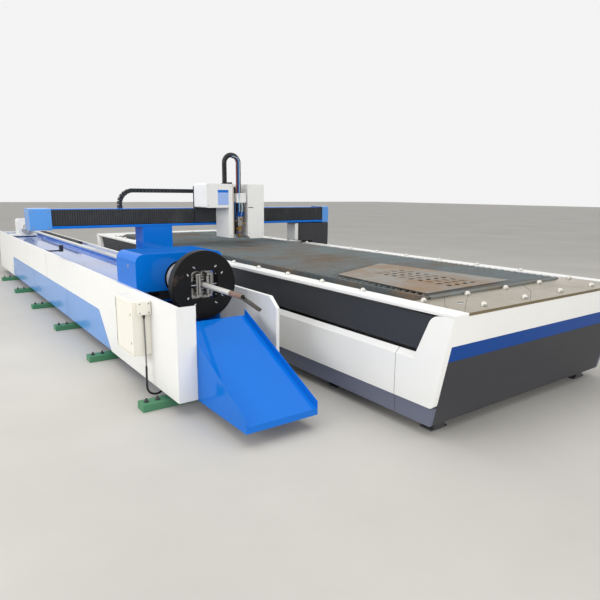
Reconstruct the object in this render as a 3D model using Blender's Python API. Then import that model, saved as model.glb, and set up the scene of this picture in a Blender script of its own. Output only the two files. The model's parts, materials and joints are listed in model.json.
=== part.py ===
"""Fiber laser cutting machine for sheet and tube: a long slat table with a travelling gantry, and beside
it a tube bed with a chuck, a feed carriage and a chute.

X runs across the table, +Y along it away from the operator's end, and +Z up. Lengths are in metres. The
origin is on the floor, under the middle of the whole machine."""

import math

import bmesh
import bpy
from mathutils import Matrix, Vector

# Main layout
TABLE_WIDTH = 2.21
TABLE_LENGTH = 7.52
TABLE_HEIGHT = 0.85
BED_SETBACK = 1.38
BED_LENGTH = 8.64
BED_WIDTH = 0.84
TUBE_TO_TABLE = 0.755
AXIS_HEIGHT = 0.845
BED_BELOW_AXIS = 0.06
BED_HEIGHT = AXIS_HEIGHT - BED_BELOW_AXIS
LEFT_OVERHANG = 1.535
RIGHT_OVERHANG = 0.31
GANTRY_AT = 4.37
GANTRY_DEPTH = 0.28
SHEET = 0.003
GAP = 0.0003
OVERRUN = 0.02
MERGE = 0.00001
ARC_STEPS = 5
SHARP_ANGLE = math.radians(30)

FRONT = -(BED_SETBACK + BED_LENGTH) / 2
TABLE_REAR = FRONT + TABLE_LENGTH
TABLE_X = (LEFT_OVERHANG - RIGHT_OVERHANG) / 2
TABLE_LEFT = TABLE_X - TABLE_WIDTH / 2
TABLE_RIGHT = TABLE_X + TABLE_WIDTH / 2
BED_FRONT = FRONT + BED_SETBACK
BED_REAR = BED_FRONT + BED_LENGTH
TUBE_X = TABLE_LEFT - TUBE_TO_TABLE
BED_LEFT = TUBE_X - BED_WIDTH / 2
BED_RIGHT = TUBE_X + BED_WIDTH / 2
GANTRY_Y = FRONT + GANTRY_AT
GANTRY_BACK = GANTRY_Y + GANTRY_DEPTH

# Table casing
TABLE_CLEARANCE = 0.08
FRONT_LEAN = 0.16
PLINTH_TOP = 0.21
PLINTH_INSET = 0.012
CASING_DEPTH = 0.04
CASING_CORNER = 0.035
STRIPE_DROP = 0.215
STRIPE_TOP = TABLE_HEIGHT - STRIPE_DROP
STRIPE_HEIGHT = 0.105
STRIPE_BOTTOM = STRIPE_TOP - STRIPE_HEIGHT
BAND_TOP_DROP = 0.025
BAND_TOP = TABLE_HEIGHT - BAND_TOP_DROP
BAND_HEIGHT = 0.285
BAND_BOTTOM = BAND_TOP - BAND_HEIGHT
BAND_TIP = 0.085
BAND_SHOULDER = 0.18
BAND_FOOT = 0.30
BAND_ROUND = 0.09
BAND_DROP = 0.012
LEDGE = 0.036
COVER_MARGIN = 0.022
RIM_WIDTH = 0.13
SLAT_INSET = 0.27
FRONT_DECK = 0.45
REAR_DECK = 0.6
RIM_THICK = 0.02

# Table frame and slats
FRAME_INSET = 0.13
FRAME_BEAM = 0.12
FRAME_DROP = 0.07
FRAME_TOP = TABLE_HEIGHT - FRAME_DROP
FRAME_BOTTOM = 0.1
FRAME_FLOOR = 0.26
FRAME_END = 0.22
CROSS_BEAM = 0.1
CROSS_COUNT = 8
LEDGE_REACH = 0.07
LEDGE_THICK = 0.05
LEG_SIDE = 0.1
LEG_PAD = 0.16
LEG_PAD_THICK = 0.012
SLAT_RISE = 0.025
SLAT_TOP = TABLE_HEIGHT + SLAT_RISE
SLAT_PITCH = 0.065
SLAT_THICK = 0.004
SLAT_CARRIER = 0.022
BALL_RADIUS = 0.016
BALL_CUP_RADIUS = 0.024
BALL_CUP_HEIGHT = 0.008
BALL_STEPS = 8
BALL_ARC_STEPS = 2
BALL_ROW_PITCH = 0.465
BALL_FIRST = 0.177
BALL_BACK_ROW = 0.405
BALL_FRONT_ROW = 0.1
BALL_RIM_INSET = 0.095
BALL_RIM_PITCH = 0.49
BALL_RIM_FIRST = 0.918
SHEET_LEFT_SHARES = ((0.02, 0.006), (0.64, 0.012), (0.55, 0.218), (0.05, 0.165))
WORK_THICK = 0.004
CUT_ROWS = 9
CUT_COLUMNS = 4
CUT_PITCH = 0.095
CUT_LEFT = 0.43
CUT_FRONT = 0.17
CUT_REACH = 0.04
CUT_CORNERS = 7
CUT_MEAN_SHARE = 0.72
CUT_WOBBLE_SHARE = 0.28
CUT_TURNS = (2.3, 1.7, 0.9)

# Y rails on the table frame
RAIL_SIDE = 0.034
RAIL_WAIST = 0.006
RAIL_DROP = 0.13
RAIL_Z = TABLE_HEIGHT - RAIL_DROP
RACK_BELOW_RAIL = 0.115
RACK_TOP = RAIL_Z - RACK_BELOW_RAIL
RACK_HEIGHT = 0.03
RACK_DEPTH = 0.03
RAIL_END = 0.3

# Gantry
BEAM_CLEARANCE = 0.295
BEAM_BOTTOM = TABLE_HEIGHT + BEAM_CLEARANCE
BEAM_HEIGHT = 0.215
BEAM_TOP = BEAM_BOTTOM + BEAM_HEIGHT
BEAM_WALL = 0.014
BEAM_TOE = 0.029
BEAM_BACK_SET = 0.07
X_RAIL_REACH = 0.02
X_RAIL_HEIGHT = 0.025
X_RAIL_RISE = 0.065
X_RAIL_LOW = BEAM_BOTTOM + X_RAIL_RISE
X_RAIL_PITCH = 0.095
X_RAIL_HIGH = X_RAIL_LOW + X_RAIL_PITCH
CAP_LEFT = 0.22
CAP_RIGHT = 0.11
CAP_DROP = 0.012
CAP_RISE = 0.008
CAP_ROUND = 0.015
TRAY_REACH = 0.12
TRAY_THICK = 0.007
LEFT_LEG_OUTER = 0.31
LEFT_LEG_INNER = 0.06
RIGHT_LEG_OUTER = 0.31
RIGHT_LEG_INNER = 0.22
LEG_CLEARANCE = 0.032
LEG_DROP = 0.35
LEG_BOTTOM = TABLE_HEIGHT - LEG_DROP
LEG_STAND_OFF = 0.0123
RING_LAP = 0.012
RING_BOTTOM_WALL = 0.008
RING_FREE = 0.0055
RING_TOP_FREE = 0.0085
RING_INNER_WALL = 0.008
BLOCK_LENGTH = 0.09
BLOCK_MARGIN = 0.018
BELLOWS_FOLD = 0.036
BELLOWS_DEPTH = 0.036
BELLOWS_WALL = 0.01
BELLOWS_STAND = 0.004
BELLOWS_TOP_DROP = 0.005
BELLOWS_TOP = BEAM_TOP - BELLOWS_TOP_DROP
BELLOWS_RISE = 0.031
BELLOWS_LOW = BEAM_BOTTOM + BELLOWS_RISE
BOX_OUT = 0.06
BOX_DEPTH = 0.21
BOX_BACK = 0.02
BOX_CLEARANCE = 0.04
BOX_LOW = TABLE_HEIGHT + BOX_CLEARANCE

# Drag chain behind the beam
CHAIN_BEND = 0.17
CHAIN_THICK = 0.05
CHAIN_WIDTH = 0.07
CHAIN_RISE = 0.21
CHAIN_HIGH = BEAM_TOP + CHAIN_RISE
CHAIN_BEND_X = 1.235
CHAIN_MOVING_X = 2.295
CHAIN_FIXED_X = 2.065
CHAIN_LINK = 0.055
CHAIN_NOTCH = 0.007
CHAIN_SET = 0.025

# Carriage and cutting head, across the beam from its left end
COVER_LEFT = 1.895
COVER_WAIST = 2.195
CHANNEL_LEFT = 2.265
CHANNEL_RIGHT = 2.465
COVER_RIGHT = 2.705
COVER_FRONT = 0.35
COVER_RISE = 0.3
COVER_TOP = BEAM_TOP + COVER_RISE
COVER_STEP_RISE = 0.012
COVER_STEP = BEAM_TOP + COVER_STEP_RISE
COVER_CLEARANCE = 0.125
COVER_LOW = SLAT_TOP + COVER_CLEARANCE
COVER_CHAMFER = 0.035
COVER_WALL = 0.004
PLATE_THICK = 0.055
PLATE_RISE = 0.04
PLATE_LOW = BEAM_BOTTOM + PLATE_RISE
PLATE_TOP_DROP = 0.03
PLATE_TOP = COVER_TOP - PLATE_TOP_DROP
PLATE_SET = 0.01
PLATE_GAP = 0.0005
TOE_CLEARANCE = 0.002
SPINE_WIDTH = 0.14
SPINE_DEPTH = 0.09
SPINE_CLEARANCE = 0.145
SPINE_LOW = SLAT_TOP + SPINE_CLEARANCE
SLIDE_WIDTH = 0.13
SLIDE_DEPTH = 0.034
SLIDE_CLEARANCE = 0.205
SLIDE_LOW = SLAT_TOP + SLIDE_CLEARANCE
SLIDE_LENGTH = 0.42
SLIDE_TOP = SLIDE_LOW + SLIDE_LENGTH
ARM_WIDTH = 0.08
ARM_CLEARANCE = 0.387
ARM_LOW = SLAT_TOP + ARM_CLEARANCE
ARM_HEIGHT = 0.06
ARM_TOP = ARM_LOW + ARM_HEIGHT
ARM_REACH = 0.22
HEAD_WIDTH = 0.07
HEAD_DEPTH = 0.06
HEAD_BLOCK_CLEARANCE = 0.265
HEAD_BLOCK_LOW = SLAT_TOP + HEAD_BLOCK_CLEARANCE
HEAD_BODY_CLEARANCE = 0.17
HEAD_BODY_LOW = SLAT_TOP + HEAD_BODY_CLEARANCE
HEAD_BODY_RADIUS = 0.024
HEAD_ROUND = 0.01
NOZZLE_CLEARANCE = 0.115
NOZZLE_LOW = SLAT_TOP + NOZZLE_CLEARANCE
NOZZLE_TIP = 0.006
NOZZLE_COLLAR = 0.02
NOZZLE_SKIRT = 0.012
ROUND_STEPS = 20
MOTOR_SIDE = 0.07
MOTOR_HEIGHT = 0.055
MOTOR_ROUND = 0.012
HOSE_RADIUS = 0.026
HOSE_START = 0.105
HOSE_RISE = 0.38
HOSE_APEX = COVER_TOP + HOSE_RISE
HOSE_POINTS = 17

# Tube bed
BED_CLEARANCE = 0.1
BED_PANEL = 0.03
BED_FLANGE = 0.1447
INSERT_TOP = 0.44
INSERT_FRONT = 1.54
INSERT_SLANT = 0.34
INSERT_REAR = 7.15
INSERT_REAR_SLANT = 0.1
INSERT_ROUND = 0.05
INSERT_SET = 0.008
CHAMFER_TOP_DROP = 0.015
CHAMFER_TOP = BED_HEIGHT - CHAMFER_TOP_DROP
CHAMFER_DROP = 0.08
CHAMFER_RUN = 0.1
BED_FRAME_START = 0.92
BED_FRAME_DROP = 0.185
BED_FRAME_TOP = AXIS_HEIGHT - BED_FRAME_DROP
BED_FRAME_LOW = 0.13
BED_FRAME_WALL = 0.012
BED_FRAME_SIDE = 0.01
DECK_RISE = 0.04
DECK_TOP = BED_FRAME_TOP + DECK_RISE
DECK_SHEET = 0.004
DECK_RIDGE = 0.05
DECK_RIDGE_LEFT = 0.215
DECK_RIDGE_RIGHT = 0.335
DECK_RAIL_WIDTH = 0.03
DECK_RAIL_HEIGHT = 0.012
DECK_RAIL_LEFT = 0.335
DECK_RAIL_RIGHT = 0.13
FOOT_COUNT = 6
FOOT_FIRST = 0.22
FOOT_LAST = 1.39
FOOT_WIDTH = 0.12
FOOT_REACH = 0.18
FOOT_HEIGHT = 0.055
FOOT_POST = 0.09
FOOT_TIE = 4

# Chute under the chuck
CHUTE_HALF = 0.275
CHUTE_TIP = -0.68
CHUTE_LOW = 0.095
CHUTE_TIP_TOP = 0.19
CHUTE_WALL_END = 0.28
CHUTE_WALL_DROP = 0.195
CHUTE_WALL_TOP = AXIS_HEIGHT - CHUTE_WALL_DROP
CHUTE_REAR_DROP = 0.15
CHUTE_REAR_LOW = CHUTE_WALL_TOP - CHUTE_REAR_DROP
CHUTE_FLOOR_DROP = 0.05
CHUTE_SHEET = 0.004

# Chuck and headstock
DISC_RADIUS = 0.27
DISC_FRONT = 0.42
DISC_THICK = 0.08
DISC_EDGE = 0.006
DISC_OPENING = 0.1125
DISC_OPENING_ROUND = 0.03
DISC_STEPS = 40
SCREW_RADIUS = 0.17
SCREW_HEAD = 0.008
SCREW_RISE = 0.005
SCREW_SPREAD = math.radians(13)
DRUM_RADIUS = 0.135
DRUM_END = 0.86
SPINDLE_RADIUS = 0.1
SPINDLE_END = 1.3
SPINDLE_BORE = 0.08
DRUM_BORE = 0.1
DRUM_BORE_END = 0.1
KEY_RADIUS = 0.009
KEY_DEPTH = 0.02
KEY_BACK = 0.08
HOUSING_FRONT = 0.86
HOUSING_REAR = 1.34
HOUSING_RISE = 0.215
HOUSING_TOP = AXIS_HEIGHT + HOUSING_RISE
HOUSING_DROP = 0.095
HOUSING_LOW = AXIS_HEIGHT - HOUSING_DROP
HOUSING_ROUND = 0.07
HOUSING_SHEET = 0.004
HOUSING_OPENING = 0.15
BEARING_FRONT = 0.94
BEARING_REAR = 1.24
BEARING_HALF = 0.17
BEARING_RISE = 0.155
BEARING_TOP = AXIS_HEIGHT + BEARING_RISE
STAND_HALF = 0.3
STAND_DROP = 0.155
STAND_TOP = AXIS_HEIGHT - STAND_DROP
STAND_LOW = BED_FRAME_TOP + GAP
LOCK_RADIUS = 0.008
LOCK_BACK = 0.18
LOCK_RISE = 0.108
LOCK_Z = AXIS_HEIGHT + LOCK_RISE
JAW_FRONT_Y = 0.022
JAW_REAR_Y = 0.06
ROLLER_RADIUS = 0.015
ROLLER_HALF = 0.07
TUBE_RADIUS = 0.02
TUBE_WALL = 0.002
TUBE_OUT = -0.17
YOKE_THICK = 0.012
YOKE_HALF = 0.09
YOKE_DEPTH = 0.022
YOKE_SPACE = 0.003
LUG = 0.014
PIN_RADIUS = 0.006
STEM_RADIUS = 0.008
STEM_LENGTH = 0.0845
STEM_HOLE_DEPTH = 0.084
STEM_STEPS = 12

# Feed carriage at the far end of the tube bed
FEED_AT = 8.04
FEED_LENGTH = 0.36
FEED_PLATE_RISE = 0.035
FEED_PLATE_TOP = DECK_TOP + FEED_PLATE_RISE
FEED_PLATE_LEFT = 0.345
FEED_PLATE_RIGHT = 0.16
FEED_HALF = 0.155
FEED_RISE = 0.185
FEED_TOP = AXIS_HEIGHT + FEED_RISE
FEED_ROUND = 0.04
FEED_BORE = 0.06
FEED_CHUCK_RADIUS = 0.1
FEED_CHUCK_THICK = 0.05
FEED_JAW = 0.018
FEED_JAW_OUT = 0.06
FEED_JAW_LENGTH = 0.07
FEED_SHAFT = 0.0595
FEED_SHAFT_LENGTH = 0.3
FEED_TUBE_BORE = 0.021
FEED_ARM_LENGTH = 0.06
FEED_ARM_LIFT = 0.002
FEED_CHAIN_X = 0.275
FEED_CHAIN_WIDTH = 0.09
FEED_CHAIN_HEIGHT = 0.045
FEED_CHAIN_FRONT = 5.34
FEED_CHAIN_LINK = 0.08
FEED_CHAIN_NOTCH = 0.008

# Tube support
SHAFT_X = 0.376
SHAFT_DROP = 0.02
SHAFT_Z = BED_HEIGHT - SHAFT_DROP
SHAFT_RADIUS = 0.012
SHAFT_FRONT = 4.42
SHAFT_REAR = 7.94
SUPPORT_REACH = 0.19
SUPPORT_ARM = 0.018
SUPPORT_RADIUS = 0.028
SUPPORT_DROP = 0.013
SUPPORT_LOW = SHAFT_Z - SUPPORT_DROP
SUPPORT_RISE = 0.073
SUPPORT_TOP = SHAFT_Z + SUPPORT_RISE
BEARING_COUNT = 3
BEARING_BLOCK = 0.06
BEARING_BLOCK_RISE = 0.018
BEARING_BLOCK_TOP = SHAFT_Z + BEARING_BLOCK_RISE
BEARING_BLOCK_RIGHT = 0.352

# Electric box on the left side of the tube bed
BOX_FRONT = 0.49
BOX_LENGTH = 0.38
BOX_REACH = 0.14
BOX_BOTTOM = 0.34
BOX_TOP_DROP = 0.025
BOX_TOP = BED_HEIGHT - BOX_TOP_DROP
BOX_SHEET = 0.002
BOX_ROUND = 0.008
DOOR_THICK = 0.02
JUNCTION = 0.1
JUNCTION_THICK = 0.03
JUNCTION_DROP = 0.052
JUNCTION_Z = BOX_TOP - JUNCTION_DROP
JUNCTION_ROUND = 0.008
JUNCTION_SET = 0.08
CABLE_RADIUS = 0.006
CABLE_INLET = 0.045
CABLE_DROP = 0.06
CABLE_SWAY = 0.006
CABLE_TURN = 6
CABLE_POINTS = 34


def finish(name, colour, roughness, metallic=0.0):
    material = bpy.data.materials.new(name)
    material.use_nodes = True
    shader = material.node_tree.nodes["Principled BSDF"]
    shader.inputs["Base Color"].default_value = (*colour, 1.0)
    shader.inputs["Roughness"].default_value = roughness
    shader.inputs["Metallic"].default_value = metallic
    return material


def place(axis, along, u, v):
    """A point at a distance along an axis, with u and v on the other two axes in X, Y, Z order."""
    return {"X": (along, u, v), "Y": (u, along, v), "Z": (u, v, along)}[axis]


def rect(u0, u1, v0, v1):
    return [(u0, v0), (u1, v0), (u1, v1), (u0, v1)]


def circle(u, v, radius, steps=ROUND_STEPS):
    turns = [2 * math.pi * i / steps for i in range(steps)]
    return [(u + radius * math.cos(t), v + radius * math.sin(t)) for t in turns]


def bored(radius, steps):
    """The radius to draw a bore at, so that its flats clear a shaft of this radius as it turns."""
    return (radius + GAP) / math.cos(math.pi / steps)


def rounded(corners, steps=ARC_STEPS):
    """An outline from corners (u, v), or (u, v, radius) where the corner is rounded."""
    outline = []
    for i, corner in enumerate(corners):
        here = Vector(corner[:2])
        if len(corner) == 2:
            outline.append(tuple(here))
            continue
        before = (Vector(corners[i - 1][:2]) - here).normalized()
        after = (Vector(corners[(i + 1) % len(corners)][:2]) - here).normalized()
        half = before.angle(after) / 2
        centre = here + (before + after).normalized() * corner[2] / math.sin(half)
        first = here + before * corner[2] / math.tan(half) - centre
        last = here + after * corner[2] / math.tan(half) - centre
        start = math.atan2(first.y, first.x)
        turn = (math.atan2(last.y, last.x) - start + math.pi) % (2 * math.pi) - math.pi
        for step in range(steps + 1):
            angle = start + turn * step / steps
            outline.append((centre.x + corner[2] * math.cos(angle), centre.y + corner[2] * math.sin(angle)))
    return outline


def rounded_rect(u, v, half_u, half_v, radius):
    """A rounded rectangle about a middle."""
    return rounded([(a, b, radius) for a, b in rect(u - half_u, u + half_u, v - half_v, v + half_v)])


def prism_mesh(axis, start, end, outline, holes=()):
    bm = bmesh.new()
    edges = []
    for loop in [outline, *holes]:
        ring = [bm.verts.new(place(axis, start, u, v)) for u, v in loop]
        edges += [bm.edges.new((ring[i - 1], ring[i])) for i in range(len(ring))]
    bmesh.ops.triangle_fill(bm, edges=edges, use_beauty=True)
    grown = bmesh.ops.extrude_face_region(bm, geom=bm.faces[:])
    moved = [item for item in grown["geom"] if isinstance(item, bmesh.types.BMVert)]
    bmesh.ops.translate(bm, verts=moved, vec=Vector(place(axis, end - start, 0, 0)))
    bmesh.ops.recalc_face_normals(bm, faces=bm.faces[:])
    return bm


def ladder(name, material, low, top, across, along):
    """Bars between two side strips. The steps along start with a bar, and bars and open bays take turns."""
    bm = bmesh.new()
    rows = [[bm.verts.new((x, y, low)) for x in across] for y in along]
    for i, (near, far) in enumerate(zip(rows, rows[1:])):
        for column in range(3):
            if column != 1 or i % 2 == 0:
                bm.faces.new((near[column], near[column + 1], far[column + 1], far[column]))
    grown = bmesh.ops.extrude_face_region(bm, geom=bm.faces[:])
    moved = [item for item in grown["geom"] if isinstance(item, bmesh.types.BMVert)]
    bmesh.ops.translate(bm, verts=moved, vec=Vector((0, 0, top - low)))
    bmesh.ops.recalc_face_normals(bm, faces=bm.faces[:])
    return add_object(name, bm, material)


def add_object(name, bm, material):
    mesh = bpy.data.meshes.new(name)
    bm.to_mesh(mesh)
    bm.free()
    return add_mesh(name, mesh, material)


def add_mesh(name, data, material):
    obj = bpy.data.objects.new(name, data)
    bpy.context.scene.collection.objects.link(obj)
    if material:
        data.materials.append(material)
    return obj


def prism(name, material, axis, start, end, outline, holes=()):
    return add_object(name, prism_mesh(axis, start, end, outline, holes), material)


def upright(x, y, side, low, top):
    """A square upright's box (x0, x1, y0, y1, z0, z1) about its middle."""
    return (x - side / 2, x + side / 2, y - side / 2, y + side / 2, low, top)


def blocks(name, material, boxes):
    """Separate boxes (x0, x1, y0, y1, z0, z1) in one mesh, for cutting or joining in one step."""
    bm = bmesh.new()
    for x0, x1, y0, y1, z0, z1 in boxes:
        part = prism_mesh("Z", z0, z1, rect(x0, x1, y0, y1))
        mesh = bpy.data.meshes.new(name)
        part.to_mesh(mesh)
        part.free()
        bm.from_mesh(mesh)
        bpy.data.meshes.remove(mesh)
    return add_object(name, bm, material)


def turned(name, material, axis, profile, u, v, steps=ROUND_STEPS):
    """A turned piece. The profile is (radius, along) points from end to end, round an axis at u, v."""
    bm = bmesh.new()
    line = {"X": Vector((1, 0, 0)), "Y": Vector((0, 1, 0)), "Z": Vector((0, 0, 1))}[axis]
    centre = Vector(place(axis, 0, u, v))
    verts = [bm.verts.new(place(axis, along, u + radius, v)) for radius, along in profile]
    edges = [bm.edges.new((verts[i], verts[i + 1])) for i in range(len(verts) - 1)]
    if profile[0][0] > 0 and profile[-1][0] > 0:
        edges.append(bm.edges.new((verts[-1], verts[0])))
    bmesh.ops.spin(bm, geom=verts + edges, cent=centre, axis=line, angle=2 * math.pi, steps=steps)
    bmesh.ops.remove_doubles(bm, verts=bm.verts[:], dist=MERGE)
    bmesh.ops.recalc_face_normals(bm, faces=bm.faces[:])
    obj = add_object(name, bm, material)
    obj.data.shade_smooth()
    obj.data.set_sharp_from_angle(angle=SHARP_ANGLE)
    return obj


def shaft(name, material, axis, radius, start, end, u, v, steps=ROUND_STEPS):
    """A plain round bar along an axis."""
    return turned(name, material, axis, [(0, start), (radius, start), (radius, end), (0, end)], u, v, steps)


def combine(obj, tool, operation):
    """Joins a tool to an object, or cuts it away, and keeps the tool as a hidden guide."""
    modifier = obj.modifiers.new(tool.name, "BOOLEAN")
    modifier.operation = operation
    modifier.solver = "EXACT"
    modifier.object = tool
    tool.hide_render = True
    tool.display_type = "WIRE"


def folded_cover(name, material, axis, start, end, outline, holes=(), sheet=SHEET, ledge=None):
    """A sheet cover folded from its face at start to its open side. A ledge bevels the hole's low edge."""
    bm = prism_mesh(axis, start, end, outline, holes)
    index = {"X": 0, "Y": 1, "Z": 2}[axis]
    if ledge:
        level, width = ledge
        on_face = [e for e in bm.edges if all(abs(p.co[index] - start) < MERGE for p in e.verts)]
        low = [e for e in on_face if all(abs(p.co.z - level) < MERGE for p in e.verts)]
        bmesh.ops.bevel(bm, geom=low, offset=width, segments=1, affect="EDGES")
    back = [f for f in bm.faces if all(abs(p.co[index] - end) < MERGE for p in f.verts)]
    bmesh.ops.delete(bm, geom=back, context="FACES")
    obj = add_object(name, bm, material)
    wall = obj.modifiers.new("Sheet", "SOLIDIFY")
    wall.thickness = sheet
    wall.offset = -1
    wall.use_even_offset = True
    wall.use_quality_normals = True
    return obj


def pipe(name, material, points, radius, resolution=2):
    curve = bpy.data.curves.new(name, "CURVE")
    curve.dimensions = "3D"
    curve.bevel_depth = radius
    curve.bevel_resolution = resolution
    curve.use_fill_caps = True
    spline = curve.splines.new("POLY")
    spline.points.add(len(points) - 1)
    for item, point in zip(spline.points, points):
        item.co = (*point, 1)
    return add_mesh(name, curve, material)


def smooth_route(route, count):
    """Points spread evenly along a smooth curve through the route's own points."""
    route = [Vector(point) for point in route]
    ends = [2 * route[0] - route[1], *route, 2 * route[-1] - route[-2]]
    fine = []
    for i in range(1, len(ends) - 2):
        p0, p1, p2, p3 = ends[i - 1 : i + 3]
        for step in range(count):
            t = step / count
            squared, cubed = 2 * p0 - 5 * p1 + 4 * p2 - p3, 3 * p1 - p0 - 3 * p2 + p3
            fine.append((2 * p1 + (p2 - p0) * t + squared * t**2 + cubed * t**3) / 2)
    fine.append(route[-1])
    far = [0.0]
    for a, b in zip(fine, fine[1:]):
        far.append(far[-1] + (b - a).length)
    points, spot = [], 0
    for i in range(count):
        wanted = far[-1] * i / (count - 1)
        while spot < len(fine) - 2 and far[spot + 1] < wanted:
            spot += 1
        share = (wanted - far[spot]) / (far[spot + 1] - far[spot])
        points.append(fine[spot].lerp(fine[spot + 1], min(share, 1)))
    return points


def clear_scene():
    for obj in list(bpy.data.objects):
        bpy.data.objects.remove(obj, do_unlink=True)


def front_y(z):
    """Where the leaning front face is at a height."""
    return FRONT + FRONT_LEAN * (TABLE_HEIGHT - z) / (TABLE_HEIGHT - TABLE_CLEARANCE)


def rear_y(z):
    return TABLE_REAR - FRONT_LEAN * (TABLE_HEIGHT - z) / (TABLE_HEIGHT - TABLE_CLEARANCE)


def from_beam(distance):
    """X at a distance from the beam's left end."""
    return TABLE_LEFT - LEFT_OVERHANG + distance


WHITE = finish("white_enamel", (0.9, 0.9, 0.88), 0.35)
BLUE = finish("blue_enamel", (0.014, 0.16, 0.62), 0.3)
GREY = finish("dark_grey_enamel", (0.07, 0.07, 0.08), 0.5)
BLACK = finish("black_cover", (0.03, 0.032, 0.035), 0.6)
STEEL = finish("bright_steel", (0.6, 0.6, 0.58), 0.25, 1.0)
SLATS = finish("slat_steel", (0.16, 0.17, 0.165), 0.5, 0.8)
RUST = finish("rusty_plate", (0.26, 0.19, 0.13), 0.7, 0.3)
TAN_STEEL = finish("stainless_plate", (0.4, 0.34, 0.25), 0.2, 0.9)
CREAM = finish("cream_enamel", (0.85, 0.83, 0.76), 0.45)
BRASS = finish("brass", (0.7, 0.5, 0.2), 0.25, 1.0)
RUBBER = finish("black_rubber", (0.02, 0.02, 0.02), 0.6)


def build_table_frame():
    """The welded frame: side beams on a ladder of cross beams, with slat ledges, racks, legs and pads."""
    left, right = TABLE_LEFT + FRAME_INSET, TABLE_RIGHT - FRAME_INSET
    front, rear = FRONT + FRAME_END, TABLE_REAR - FRAME_END
    bay = (rear - front - CROSS_BEAM) / (CROSS_COUNT - 1)
    steps = [front + bay * i + edge for i in range(CROSS_COUNT) for edge in (0, CROSS_BEAM)]
    across = (left, left + FRAME_BEAM, right - FRAME_BEAM, right)
    frame = ladder("table_frame", GREY, FRAME_BOTTOM, FRAME_FLOOR, across, steps)
    boxes = [
        (left, left + FRAME_BEAM, front, rear, FRAME_BOTTOM, FRAME_TOP),
        (right - FRAME_BEAM, right, front, rear, FRAME_BOTTOM, FRAME_TOP),
    ]
    ledges = [
        (
            left + FRAME_BEAM - OVERRUN, left + FRAME_BEAM + LEDGE_REACH, front, rear,
            FRAME_TOP - LEDGE_THICK, FRAME_TOP,
        ),
        (
            right - FRAME_BEAM - LEDGE_REACH, right - FRAME_BEAM + OVERRUN, front, rear,
            FRAME_TOP - LEDGE_THICK, FRAME_TOP,
        ),
    ]
    racks = [
        (
            left - RACK_DEPTH, left + OVERRUN, FRONT + RAIL_END, TABLE_REAR - RAIL_END,
            RACK_TOP - RACK_HEIGHT, RACK_TOP,
        ),
        (
            right - OVERRUN, right + RACK_DEPTH, FRONT + RAIL_END, TABLE_REAR - RAIL_END,
            RACK_TOP - RACK_HEIGHT, RACK_TOP,
        ),
    ]
    legs, pads = [], []
    for i in range(0, CROSS_COUNT):
        y = front + CROSS_BEAM / 2 + bay * i
        for x in (left + FRAME_BEAM / 2, right - FRAME_BEAM / 2):
            legs.append(upright(x, y, LEG_SIDE, LEG_PAD_THICK / 2, FRAME_FLOOR - OVERRUN))
            pads.append(
                (x - LEG_PAD / 2, x + LEG_PAD / 2, y - CROSS_BEAM / 2, y + CROSS_BEAM / 2, 0, LEG_PAD_THICK)
            )
    for name, group in (
        ("side_beams", boxes), ("ledges", ledges), ("racks", racks), ("legs", legs), ("pads", pads),
    ):
        combine(frame, blocks(name, None, group), "UNION")


def build_rails():
    """A guide rail on each side beam, with its waist, behind the rail cover."""
    for side, name in ((1, "left_y_rail"), (-1, "right_y_rail")):
        face = TABLE_X - side * (TABLE_WIDTH / 2 - FRAME_INSET + GAP)
        out = face - side * RAIL_SIDE
        waist = face - side * RAIL_SIDE / 2
        top, low = RAIL_Z + RAIL_SIDE, RAIL_Z
        outline = [
            (face, low + RAIL_WAIST), (waist, low + RAIL_WAIST), (waist, low), (out, low),
            (out, top), (waist, top), (waist, top - RAIL_WAIST), (face, top - RAIL_WAIST),
        ]
        prism(name, STEEL, "Y", FRONT + RAIL_END, TABLE_REAR - RAIL_END, outline)


def build_slats():
    """Slats on edge across the table, welded into a carrier at each side."""
    left, right = TABLE_LEFT + SLAT_INSET, TABLE_RIGHT - SLAT_INSET
    front, rear = FRONT + FRONT_DECK + GAP, TABLE_REAR - REAR_DECK - GAP
    count = int((rear - front - SLAT_THICK) / SLAT_PITCH)
    step = (rear - front - SLAT_THICK) / count
    steps = [front + step * i + edge for i in range(count + 1) for edge in (0, SLAT_THICK)]
    across = (left, left + SLAT_CARRIER, right - SLAT_CARRIER, right)
    ladder("slat_bed", SLATS, FRAME_TOP + GAP, SLAT_TOP, across, steps)


def work_outline():
    """The rusty plate left on the slats: a skewed offcut, its corners as shares of the slat field."""
    left, front = TABLE_LEFT + SLAT_INSET, FRONT + FRONT_DECK
    wide, long = TABLE_WIDTH - 2 * SLAT_INSET, TABLE_LENGTH - FRONT_DECK - REAR_DECK
    return [(left + wide * u, front + long * v) for u, v in SHEET_LEFT_SHARES]


def ragged(x, y, mark):
    """A small cut-out with uneven corners. The mark makes each one differ."""
    turn, swing, spread = CUT_TURNS
    corners = []
    for i in range(CUT_CORNERS):
        angle = 2 * math.pi * i / CUT_CORNERS + spread * mark
        reach = CUT_REACH * (CUT_MEAN_SHARE + CUT_WOBBLE_SHARE * math.sin(turn * mark + swing * i))
        corners.append((x + reach * math.cos(angle), y + reach * math.sin(angle)))
    return corners


def build_work_plate():
    """The offcut with the band of small cut-outs that was cut in it."""
    left, front = TABLE_LEFT + SLAT_INSET + CUT_LEFT, FRONT + FRONT_DECK + CUT_FRONT
    holes = []
    for row in range(CUT_ROWS):
        for column in range(CUT_COLUMNS):
            mark = row * CUT_COLUMNS + column
            holes.append(ragged(left + CUT_PITCH * column, front + CUT_PITCH * row, mark))
    low = SLAT_TOP + GAP
    prism("cut_plate", RUST, "Z", low, low + WORK_THICK, work_outline(), holes)


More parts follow.
